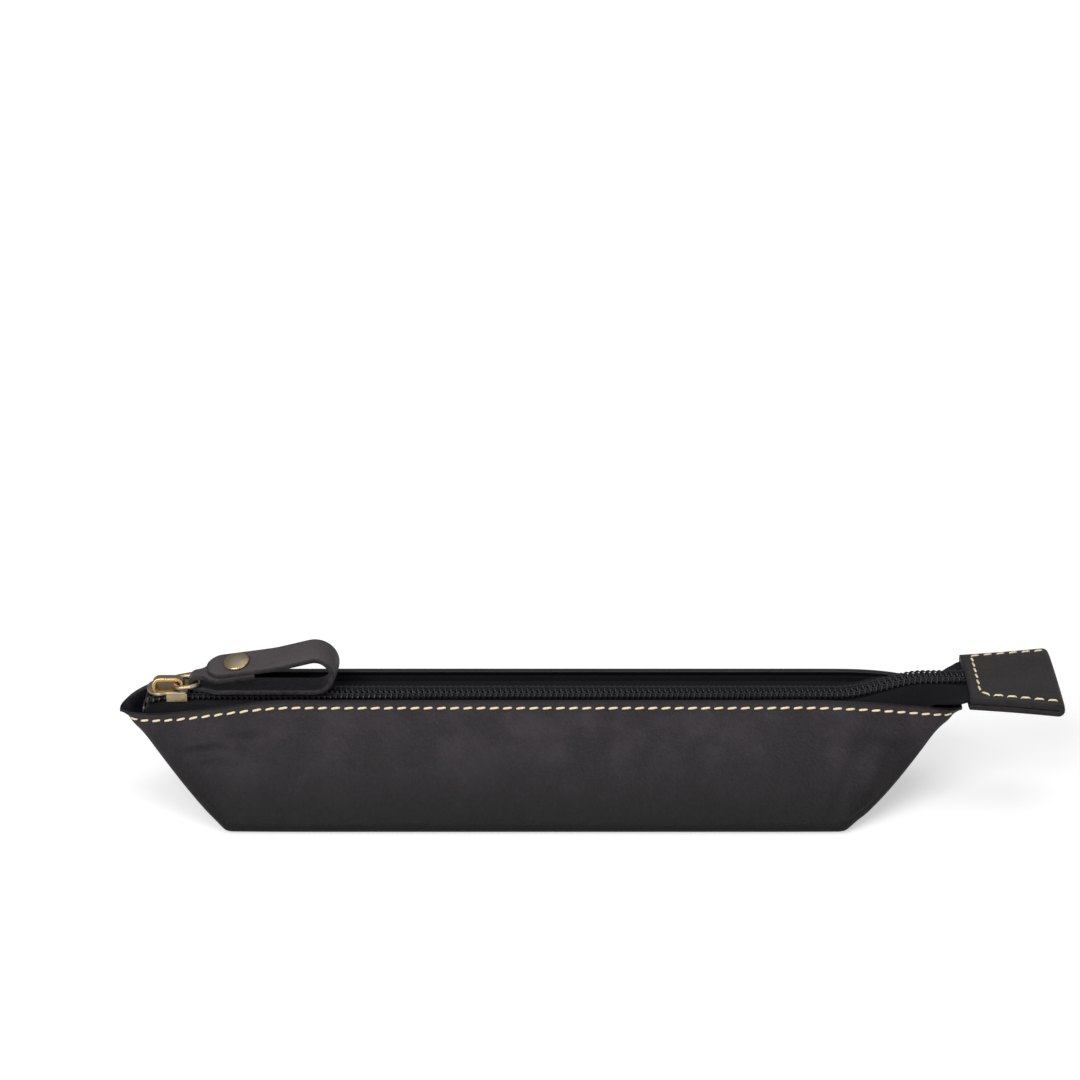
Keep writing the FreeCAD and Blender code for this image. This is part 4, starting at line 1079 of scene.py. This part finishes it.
def rivet_skins():
    """The rivet's domed cap, a wide shallow dome over a rolled edge, with its post, and the lower cap."""
    p = settings().pull
    line = StrapLine()
    radius, dome = p.rivet_diameter / 2, p.rivet_height
    up = p.strap_leather / 2 + p.rivet_clearance
    roll_steps, crown_steps, cap_sides, post_sides = 9, 16, 48, 24
    cap_roll, lower_roll, crown_power, pole, flat = 0.3, 0.35, 2.4, 0.004, 0.5
    rub_place, rub_width, lower_wear = 0.4, 0.55, 0.7
    turn = np.linspace(-math.pi / 2, math.pi / 2, roll_steps)
    roll = cap_roll * dome
    rolled = np.stack([radius - roll + roll * np.cos(turn), up + roll + roll * np.sin(turn)], -1)
    share = np.linspace(1, pole, crown_steps)[1:]
    inner = radius - roll
    crown = np.stack([inner * share, up + 2 * roll + (dome - 2 * roll) * (1 - share ** crown_power)], -1)
    cap = np.concatenate([[(pole * inner, up)], rolled, crown])
    edge = np.exp(-((cap[:, 0] - radius + rub_place * roll) / (rub_width * roll)) ** 2)[:, None]
    under = -1.5 * p.strap_leather - p.lap_gap - p.rivet_clearance
    roll = lower_roll * p.rivet_base
    rolled = np.stack([radius - roll + roll * np.cos(turn), under - roll - roll * np.sin(turn)], -1)
    face = [(flat * radius, under - p.rivet_base), (pole * radius, under - p.rivet_base)]
    lower = np.concatenate([[(pole * radius, under)], rolled, face])
    post = np.array([(p.rivet_post / 2, up), (p.rivet_post / 2, under)])
    place = (line.rivet, p.lap_slope, p.strap_roll)
    return ([Skin(revolved(cap, cap_sides, *place), wear=edge), Skin(revolved(post, post_sides, *place))],
            [Skin(revolved(lower, cap_sides, *place), wear=lower_wear)])


# The end tab


def tab_line():
    """The tab's middle line seen from the front: along the upper layer, round the fold and back below."""
    t = settings().tab
    middle = (TAB_LOW.z + TAB_HIGH.z) / 2
    bend = (TAB_HIGH.z - TAB_LOW.z - t.leather) / 2
    fold_steps, spacing = 14, 0.00045
    turn_x = TAB_HIGH.x - bend - t.leather / 2
    fold = round_turn((turn_x, middle), bend, math.pi / 2, -math.pi / 2, fold_steps)
    first, last = [(TAB_LOW.x, middle + bend)], [(TAB_LOW.x, middle - bend)]
    return evenly(np.concatenate([first, fold, last]), spacing)


def tab_share(x):
    """Where a place lies along the tab: 0 at its root, 1 at its fold."""
    return np.clip((x - TAB_LOW.x) / (TAB_HIGH.x - TAB_LOW.x), 0, 1)


def tab_half_width(x):
    """Half width of the tab: flared from its root to its fold, its sides hollowed a little."""
    t = settings().tab
    hollow = 0.00025
    share = tab_share(x)
    straight = t.root_width / 2 + (t.end_width - t.root_width) / 2 * share
    return straight - hollow * np.sin(math.pi * share)


def tab_bow(x):
    """How far the tab's middle swells at a place: least at its two ends, most in the middle."""
    first, span = 0.15, 0.7
    return settings().tab.bow * np.sin(math.pi * (first + span * tab_share(x)))


def tab_skin():
    """The tab: a flat band along its line, flared towards the fold and bowed along its middle."""
    t = settings().tab
    line = tab_line()
    fold_run, fold_inset, lower_bow, raw_run, spans = 0.0012, 0.0004, -0.3, 0.0005, 24
    run = run_length(line)
    upper = run < run[-1] / 2
    fold = np.exp(-((TAB_HIGH.x - line[:, 0]) / fold_run) ** 2)
    width = tab_half_width(line[:, 0]) - fold_inset * fold
    bow = tab_bow(line[:, 0]) * np.where(upper, 1.0, lower_bow) * (1 - fold)
    pinch = t.pinch * (1 - fold)
    points, edge, _ = ribbon(line, width, t.leather, t.edge_round, bow, pinch=pinch, spans=spans)
    points[..., 2] += t.tilt * points[..., 1]
    ends = np.exp(-((line[:, 0] - TAB_LOW.x) / raw_run) ** 2)[:, None]
    return Skin(points, raw_edge=np.maximum(edge, ends))


def tab_row():
    """The tab's row of stitches on its upper face: back edge, open end, cut corner, front edge."""
    t, thread = settings().tab, settings().stitching
    left, right, cut = TAB_LOW.x + t.stitch_inset, TAB_HIGH.x - t.stitch_end, t.corner_cut
    half = tab_half_width(np.array([left, right]))
    back, front = half - t.stitch_inset, t.front_inset - half
    line = np.array([(right, back[1]), (left, back[0]), (left, front[0] + cut), (left + cut, front[0]),
                     (right, front[1])])
    run = run_length(line)
    count = int(run[-1] / thread.pitch)
    places = (np.arange(count) + 0.5) * run[-1] / count
    step, sink = 0.0004, 0.00006

    def on_tab(place):
        x, y = (np.interp(place, run, line[:, n]) for n in range(2))
        rise = tab_bow(x) * (1 - (y / tab_half_width(x)) ** 2)
        return np.stack([x, y, TAB_HIGH.z + rise + t.tilt * y], -1)

    along = on_tab(np.minimum(places + step, run[-1])) - on_tab(np.maximum(places - step, 0))
    out = np.broadcast_to(np.array([0.0, 0.0, 1.0]), along.shape)
    return stitch_skin(on_tab(places) - sink * out, along, out)


# Finishes


class Finish:
    """A material under construction: its nodes, and short words for the ones used most."""

    def __init__(self, name):
        self.material = bpy.data.materials.new(name)
        self.material.use_nodes = True
        self.tree = self.material.node_tree
        self.shader = self.tree.nodes["Principled BSDF"]
        place = self.tree.nodes.new("ShaderNodeTexCoord")
        self.place, self.surface = place.outputs["Object"], place.outputs["UV"]

    def node(self, kind, inputs, **options):
        """A node with its options set and its inputs given a value or joined to an output."""
        node = self.tree.nodes.new("ShaderNode" + kind)
        for name, value in options.items():
            setattr(node, name, value)
        for name, value in inputs.items():
            if isinstance(value, bpy.types.NodeSocket):
                self.tree.links.new(value, node.inputs[name])
            else:
                node.inputs[name].default_value = value
        return node

    def noise(self, scale, detail=3.0, roughness=0.55, place=None):
        """Cloudy noise, 0 to 1, with that many clouds to the metre."""
        inputs = {"Vector": place or self.place, "Scale": scale, "Detail": detail, "Roughness": roughness}
        return self.node("TexNoise", inputs).outputs["Fac"]

    def cells(self, scale):
        """Distance to the nearest of scattered points, with that many to the metre."""
        inputs = {"Vector": self.place, "Scale": scale}
        return self.node("TexVoronoi", inputs, feature="SMOOTH_F1").outputs["Distance"]

    def paint(self, name):
        """A value painted on the piece's points."""
        return self.node("Attribute", {}, attribute_name=name).outputs["Fac"]

    def sum(self, operation, a, b):
        """One sum of two values."""
        return self.node("Math", {0: a, 1: b}, operation=operation).outputs[0]

    def weighted(self, a, a_share, b, b_share):
        """Two values added in these shares."""
        return self.sum("ADD", self.sum("MULTIPLY", a, a_share), self.sum("MULTIPLY", b, b_share))

    def ripple(self, phase):
        """A wave of a phase in radians: the upper half of a sine on 0.5 to 1, with flat troughs."""
        return self.scale_to(self.sum("SINE", phase, 0.0), 0.5, 1.0)

    def between(self, value, low, high):
        """0 below low, 1 above high, eased between."""
        inputs = {"Value": value, "From Min": low, "From Max": high}
        return self.node("MapRange", inputs, interpolation_type="SMOOTHSTEP").outputs["Result"]

    def mix(self, share, a, b):
        """A colour between two."""
        a, b = ((*c, 1.0) if not isinstance(c, bpy.types.NodeSocket) else c for c in (a, b))
        return self.node("Mix", {0: share, 6: a, 7: b}, data_type="RGBA").outputs[2]

    def scale_to(self, value, low, high):
        """The value's 0 to 1 carried onto low to high."""
        inputs = {"Value": value, "To Min": low, "To Max": high}
        return self.node("MapRange", inputs).outputs["Result"]

    def bump(self, height, distance, strength=1.0, normal=None):
        """A normal tilted by a height of 0 to 1 that stands for that many metres."""
        inputs = {"Height": height, "Distance": distance, "Strength": strength}
        if normal:
            inputs["Normal"] = normal
        return self.node("Bump", inputs).outputs["Normal"]

    def finish(self, colour, roughness, normal=None, fixed=()):
        """Joins the shader's inputs and sets the ones that are the same all over."""
        for name, value in (("Base Color", colour), ("Roughness", roughness), ("Normal", normal)):
            if isinstance(value, bpy.types.NodeSocket):
                self.tree.links.new(value, self.shader.inputs[name])
            elif value is not None:
                self.shader.inputs[name].default_value = value
        for name, value in fixed:
            self.shader.inputs[name].default_value = value
        return self.material


def leather_finish(name, grain, worn, edge, inside=None):
    """Grained leather: clouds of rub on a dark grain with painted shade low down, pebbles and pores in its
    relief, and bare cut edges.
    """
    f = Finish(name)
    shade_full_below, shade_clear_above = 0.001, 0.0225
    pebble_height, slack_height, slack_stretch = 0.00032, 0.0006, (1.0, 1.0, 2.6)
    clouds = f.between(f.noise(95, detail=5, roughness=0.62), 0.38, 0.72)
    specks = f.between(f.noise(2600, detail=2, roughness=0.5), 0.5, 0.78)
    base = f.mix(f.weighted(clouds, 0.5, specks, 0.45), grain, worn)
    # Painted shade: the grain darkens towards the base, from its own colour high up to the painted shade colour
    # near the floor
    lit = f.between(f.node("SeparateXYZ", {"Vector": f.place}).outputs["Z"], shade_full_below, shade_clear_above)
    base = f.mix(lit, settings().colours.leather_painted_shade, base)
    cut = f.sum("MULTIPLY", f.paint("raw_edge"), f.scale_to(f.noise(700, detail=4), 0.35, 1.0))
    base = f.mix(cut, base, edge)
    pores = f.noise(3000, roughness=0.65)
    height = f.weighted(f.cells(1250), 0.6, pores, 0.75)
    wrinkles = f.node("Mapping", {"Vector": f.place, "Scale": slack_stretch}, vector_type="POINT")
    slack = f.bump(f.noise(210, roughness=0.6, place=wrinkles.outputs["Vector"]), slack_height, strength=0.35)
    normal = f.bump(height, pebble_height, strength=0.8, normal=slack)
    roughness = f.scale_to(f.noise(320, detail=4), 0.40, 0.56)
    if inside is not None:
        base = f.mix(f.paint("inside"), base, inside)
    return f.finish(base, roughness, normal, [("Specular IOR Level", LEATHER_GLOSS)])


def tape_finish():
    """Woven tape: a herringbone of warp and weft waves on the surface's own map, with lint, and a painted
    highlight on the weave's raised yarns.
    """
    f, c = Finish("zip_tape"), settings().colours
    yarns, weave_height = 1800.0, 0.0002
    across = f.node("Mapping", {"Vector": f.surface, "Scale": (yarns, yarns, 1.0)})
    parts = f.node("SeparateXYZ", {"Vector": across.outputs["Vector"]})
    twill = f.sum("ADD", parts.outputs["X"], parts.outputs["Y"])
    ribs = f.ripple(f.sum("MULTIPLY", twill, math.pi))
    weft = f.ripple(f.sum("MULTIPLY", parts.outputs["X"], 2 * math.pi))
    height = f.weighted(ribs, 0.6, weft, 0.4)
    lint = f.between(f.noise(3800), 0.52, 0.75)
    # Lint specks, and a painted highlight: the weave's raised yarns are coloured lighter than its hollows
    base = f.mix(f.sum("MULTIPLY", f.sum("ADD", height, lint), 0.35), c.tape, c.tape_lint)
    fixed = [("Specular IOR Level", 0.1), ("Sheen Weight", 0.05)]
    return f.finish(base, 0.82, f.bump(height, weave_height, strength=0.7), fixed)


def coil_finish():
    """Drawn nylon: nearly black and satin, with faint drag lines, and matt thread where lint is painted."""
    f, c = Finish("zip_coil"), settings().colours
    drag_height = 0.00003
    drag = f.noise(1900)
    lint = f.paint("lint")
    base = f.mix(lint, f.mix(drag, c.coil, c.coil_drag), c.tape_lint)
    roughness = f.sum("ADD", f.scale_to(drag, 0.18, 0.30), f.sum("MULTIPLY", lint, 0.4))
    return f.finish(base, roughness, f.bump(drag, drag_height, strength=0.5), [("Specular IOR Level", 0.5)])


def brass_finish(name):
    """Antique brass: dark patina in clouds and specks, rubbed bright along the worn edges."""
    f, c = Finish(name), settings().colours
    pit_depth = 0.00003
    clouds = f.between(f.noise(520, detail=5, roughness=0.65), 0.36, 0.66)
    specks = f.between(f.noise(3600), 0.45, 0.7)
    rubbed = f.weighted(clouds, 0.55, f.paint("wear"), 0.85)
    share = f.between(f.sum("SUBTRACT", rubbed, f.sum("MULTIPLY", specks, 0.22)), 0.0, 1.0)
    base = f.mix(share, c.patina, c.brass)
    roughness = f.scale_to(share, 0.48, 0.27)
    return f.finish(base, roughness, f.bump(specks, pit_depth, strength=0.5), [("Metallic", 1.0)])


def thread_finish(name, light, shade):
    """Waxed thread: two strands twisted round each other on the surface's own map, with fine fibres, painted
    light on the strands' crests and painted shade between them.
    """
    f = Finish(name)
    turns_along, turns_round, strand_height = 7200.0, 5600.0, 0.00012
    parts = f.node("SeparateXYZ", {"Vector": f.surface})
    strands = f.ripple(f.weighted(parts.outputs["X"], turns_along, parts.outputs["Y"], turns_round))
    fibres = f.noise(5200, detail=2)
    wear = f.scale_to(f.noise(260, detail=2), 0.7, 1.15)
    # Painted light on the strands' crests and painted shade between them, varied at random along the thread
    base = f.mix(f.sum("MULTIPLY", strands, wear), shade, light)
    height = f.sum("ADD", strands, f.sum("MULTIPLY", fibres, 0.35))
    fixed = [("Specular IOR Level", 0.35), ("Sheen Weight", 0.1)]
    return f.finish(base, 0.62, f.bump(height, strand_height, strength=0.6), fixed)


def floor_finish():
    """A pale floor that shows white to the camera and keeps the shadow."""
    f, c = Finish("pale_floor"), settings().colours
    near, far, near_glow, far_glow = 0.2, 0.7, 0.43, 0.80
    f.finish((*c.floor, 1.0), 0.9, None, [("Specular IOR Level", 0.0)])
    output = f.tree.nodes["Material Output"]
    seen = f.node("LightPath", {}).outputs["Is Camera Ray"]
    distance = f.node("VectorMath", {0: f.place}, operation="LENGTH").outputs["Value"]
    strength = f.sum("MULTIPLY", seen, f.scale_to(f.between(distance, near, far), near_glow, far_glow))
    glow = f.node("Emission", {"Color": (1.0, 1.0, 1.0, 1.0), "Strength": strength})
    both = f.tree.nodes.new("ShaderNodeAddShader")
    f.tree.links.new(f.shader.outputs[0], both.inputs[0])
    f.tree.links.new(glow.outputs[0], both.inputs[1])
    f.tree.links.new(both.outputs[0], output.inputs["Surface"])
    return f.material


def finish_named(name, make, *arguments):
    """A finish that several operators share, made by the first that asks for it."""
    return bpy.data.materials.get(name) or make(name, *arguments)


def cream_thread():
    """The cream thread's finish."""
    c = settings().colours
    return finish_named("cream_thread", thread_finish, c.thread, c.thread_shade)


def antique_brass():
    """The finish of the slider, the ring and the rivet."""
    return finish_named("antique_brass", brass_finish)


# The stage


def make_floor():
    """A wide pale sheet just under the case."""
    reach, drop = 6.0, -0.0001
    corners = [(-reach, -reach, drop), (reach, -reach, drop), (reach, reach, drop), (-reach, reach, drop)]
    mesh = bpy.data.meshes.new("floor")
    mesh.from_pydata(corners, [], [(0, 1, 2, 3)])
    mesh.materials.append(floor_finish())
    floor = bpy.data.objects.new("floor", mesh)
    bpy.context.scene.collection.objects.link(floor)


def make_lights():
    """Large soft lamps: a key from the upper left, a broad overhead and a low fill from the right."""
    aim = Vector((0, 0, 0.015))
    lamps = (
        ("key", Vector((-0.55, -1.05, 0.75)), 0.9, 14.0),
        ("overhead", Vector((0.0, 0.1, 1.3)), 1.2, 4.0),
        ("fill", Vector((0.8, -0.9, 0.45)), 0.8, 4.0),
    )
    for name, place, size, power in lamps:
        lamp = bpy.data.lights.new(name, "AREA")
        lamp.size = size
        lamp.energy = power
        holder = bpy.data.objects.new(name, lamp)
        holder.location = place
        holder.rotation_euler = (aim - place).to_track_quat("-Z", "Y").to_euler()
        bpy.context.scene.collection.objects.link(holder)


def make_surround():
    """A soft surround that lights the case at a plain level and shows white to the camera."""
    plain_level, seen_level = 0.22, 1.0
    world = bpy.data.worlds.new("surround")
    world.use_nodes = True
    bpy.context.scene.world = world
    tree = world.node_tree
    paths = tree.nodes.new("ShaderNodeLightPath")
    seen = tree.nodes.new("ShaderNodeMath")
    seen.operation = "MAXIMUM"
    tree.links.new(paths.outputs["Is Camera Ray"], seen.inputs[0])
    tree.links.new(paths.outputs["Is Transmission Ray"], seen.inputs[1])
    strength = tree.nodes.new("ShaderNodeMapRange")
    tree.links.new(seen.outputs[0], strength.inputs["Value"])
    strength.inputs["To Min"].default_value = plain_level
    strength.inputs["To Max"].default_value = seen_level
    background = tree.nodes["Background"]
    background.inputs["Color"].default_value = (1.0, 1.0, 1.0, 1.0)
    tree.links.new(strength.outputs["Result"], background.inputs["Strength"])


def make_camera():
    """A long lens at the photograph's height, with the frame shifted so that the case stands low in it."""
    target = Vector((0, 0, 0.013))
    distance, elevation = 0.83, math.radians(24.2)
    image, focal = 1080.0, 3569.0
    place = 541.0, 736.5
    camera = bpy.data.cameras.new("view")
    camera.sensor_width = 36.0
    camera.lens = focal / image * camera.sensor_width
    camera.shift_x = (image / 2 - place[0]) / image
    camera.shift_y = (place[1] - image / 2) / image
    holder = bpy.data.objects.new("view", camera)
    holder.location = target + distance * Vector((0, -math.cos(elevation), math.sin(elevation)))
    holder.rotation_euler = (math.pi / 2 - elevation, 0, 0)
    bpy.context.scene.collection.objects.link(holder)
    bpy.context.scene.camera = holder


# Operators


def flap_halves(name):
    """The two halves of a free tape, each with its name, its first and last place, and two bodies and two
    places from the case into the flap, towards the open middle.
    """
    z = settings().zip
    flap = name + "_flap"
    left_bend, right_bend = 0.016, 0.022
    middle = z.open_end + z.left_turns * z.coil_pitch
    closed = SLIDER_LOW.x + z.travel

    def at(x):
        return (x, 0.0, z.tape_height)

    return [("left", z.loose_end, middle, ("case", flap), (at(z.open_end), at(middle - left_bend))),
            ("right", middle, z.flap_end, (flap, "case"), (at(middle + right_bend), at(closed)))]


class PENCASE_OT_panels(Operator):
    """Builds the front and back leather panels"""
    bl_idname = "pencase.panels"
    bl_label = "Leather panels"

    def execute(self, context):
        c = settings().colours
        leather = leather_finish("case_leather", c.leather, c.leather_worn, c.leather_edge, c.leather_inside)
        for name, side in (("front", -1), ("back", 1)):
            make_piece(name + "_leather", [panel_skin(side)], leather, "case", [name + "_panel"])
        return {"FINISHED"}


class PENCASE_OT_rim_stitches(Operator):
    """Builds the rows of cream stitches along both rims"""
    bl_idname = "pencase.rim_stitches"
    bl_label = "Rim stitches"

    def execute(self, context):
        for name, side in (("front", -1), ("back", 1)):
            row = name + "_rim_thread"
            make_piece(name + "_rim_stitches", [rim_row(side)], cream_thread(), "case", [row])
        return {"FINISHED"}


class PENCASE_OT_tapes(Operator):
    """Builds the woven zip tapes: the free strips, their sewn edges and the tail"""
    bl_idname = "pencase.tapes"
    bl_label = "Zip tapes"

    def execute(self, context):
        woven = tape_finish()
        for name, side in (("front", -1), ("rear", 1)):
            tape = name + "_tape"
            for end, first, last, bodies, places in flap_halves(name):
                skins = [flap_strip(first, last, side)]
                strip = make_piece(f"{tape}_{end}", skins, woven, None, [tape])
                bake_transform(strip)
            make_piece(tape + "_sewn_edge", [hem_strip(side)], woven, "case", [tape + "_hem"])
            make_piece(tape + "_end", [tail_strip(side)], woven, "case", [tape + "_tail"])
        return {"FINISHED"}


class PENCASE_OT_coils(Operator):
    """Builds the nylon coils with their filler cords and sewing threads"""
    bl_idname = "pencase.coils"
    bl_label = "Zip coils"

    def execute(self, context):
        z = settings().zip
        nylon = coil_finish()
        tab_clearance = 0.0002
        tail_stop = TAB_LOW.x - tab_clearance
        for name, side, phase in (("front", -1, 0.0), ("rear", 1, 0.5)):
            for end, first, last, bodies, places in flap_halves(name):
                skins = coil_skins(first, last, side, phase)
                nodes = [name + "_coil", name + "_coil_core"]
                coil = make_piece(f"{name}_coil_{end}", skins, nylon, None, nodes)
                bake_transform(coil)
            skins = coil_skins(z.flap_end, tail_stop, side, phase)
            nodes = [name + "_coil_tail", name + "_core_tail"]
            make_piece(name + "_coil_end", skins, nylon, "case", nodes)
        return {"FINISHED"}


class PENCASE_OT_slider(Operator):
    """Builds the brass slider with its bridge"""
    bl_idname = "pencase.slider"
    bl_label = "Slider"

    def execute(self, context):
        brass = antique_brass()
        make_piece("slider_plates", slider_skins(), brass, "slider", ["slider_body"])
        make_piece("slider_arch", [bridge_skin()], brass, "slider", ["slider_bridge"])
        return {"FINISHED"}


class PENCASE_OT_pull(Operator):
    """Builds the pull: ring, leather strap and rivet"""
    bl_idname = "pencase.pull"
    bl_label = "Pull"

    def execute(self, context):
        brass = antique_brass()
        c = settings().colours
        # The strap's colours are a lighter copy of the tab's leather: painted sheen
        leather = leather_finish("pull_leather", c.strap, c.strap_worn_and_sheen, c.strap_edge, c.leather_inside)
        make_piece("wire_ring", [ring_skin()], brass, "ring", ["pull_ring"])
        make_piece("looped_strap", [strap_skin()], leather, "strap", ["pull_strap"])
        cap, lower = rivet_skins()
        make_piece("rivet_dome", cap, brass, "strap", ["rivet_cap"])
        make_piece("rivet_lower_cap", lower, brass, "strap", ["rivet_base"])
        return {"FINISHED"}


class PENCASE_OT_tab(Operator):
    """Builds the folded end tab with its row of stitches"""
    bl_idname = "pencase.tab"
    bl_label = "End tab"

    def execute(self, context):
        c = settings().colours
        leather = leather_finish("folded_leather", c.tab, c.tab_worn, c.strap_edge)
        make_piece("folded_tab", [tab_skin()], leather, "case", ["end_tab"])
        make_piece("tab_stitches", [tab_row()], cream_thread(), "case", ["tab_thread"])
        return {"FINISHED"}


class PENCASE_OT_seams(Operator):
    """Builds the dark stitches of the inside seams"""
    bl_idname = "pencase.seams"
    bl_label = "Inside seams"

    def execute(self, context):
        c = settings().colours
        dark = thread_finish("inside_thread", c.seam, c.seam_shade)
        for name, skin in seam_rows().items():
            make_piece(name + "_stitches", [skin], dark, "case", [name + "_thread"])
        return {"FINISHED"}


class PENCASE_OT_stage(Operator):
    """Builds the floor, the soft lights, the white surround and the camera"""
    bl_idname = "pencase.stage"
    bl_label = "Stage"

    def execute(self, context):
        make_floor()
        make_lights()
        make_surround()
        make_camera()
        context.scene.view_settings.view_transform = "Standard"
        return {"FINISHED"}


class PENCASE_PT_panel(Panel):
    """Lists the case's pieces and their sizes"""
    bl_idname = "PENCASE_PT_panel"
    bl_label = "Pen case"
    bl_space_type = "VIEW_3D"
    bl_region_type = "UI"
    bl_category = "Pen case"

    def draw(self, context):
        for operator in OPERATORS:
            self.layout.operator(operator.bl_idname)
        case = context.scene.pen_case
        for group in (case.body, case.zip, case.pull, case.tab, case.stitching, case.colours):
            box = self.layout.box()
            for name in group.__annotations__:
                box.prop(group, name)


OPERATORS = (PENCASE_OT_panels, PENCASE_OT_rim_stitches, PENCASE_OT_tapes, PENCASE_OT_coils,
             PENCASE_OT_slider, PENCASE_OT_pull, PENCASE_OT_tab, PENCASE_OT_seams, PENCASE_OT_stage)
SETTINGS = (BodySizes, ZipSizes, PullSizes, TabSizes, ThreadSizes, Colours, PenCase)
CLASSES = (*SETTINGS, *OPERATORS, PENCASE_PT_panel)


def register():
    """Makes the classes known and hangs the settings on the scene."""
    for kind in CLASSES:
        bpy.utils.register_class(kind)
    bpy.types.Scene.pen_case = PointerProperty(type=PenCase, name="Pen case", description="Sizes and colours")


def unregister():
    """Takes the settings and the classes away again."""
    del bpy.types.Scene.pen_case
    for kind in reversed(CLASSES):
        bpy.utils.unregister_class(kind)


def main():
    """Builds every piece in order."""
    register()
    for build in (bpy.ops.pencase.panels, bpy.ops.pencase.rim_stitches, bpy.ops.pencase.tapes,
                  bpy.ops.pencase.coils, bpy.ops.pencase.slider, bpy.ops.pencase.pull, bpy.ops.pencase.tab,
                  bpy.ops.pencase.seams, bpy.ops.pencase.stage):
        build()


if __name__ == "__main__":
    main()
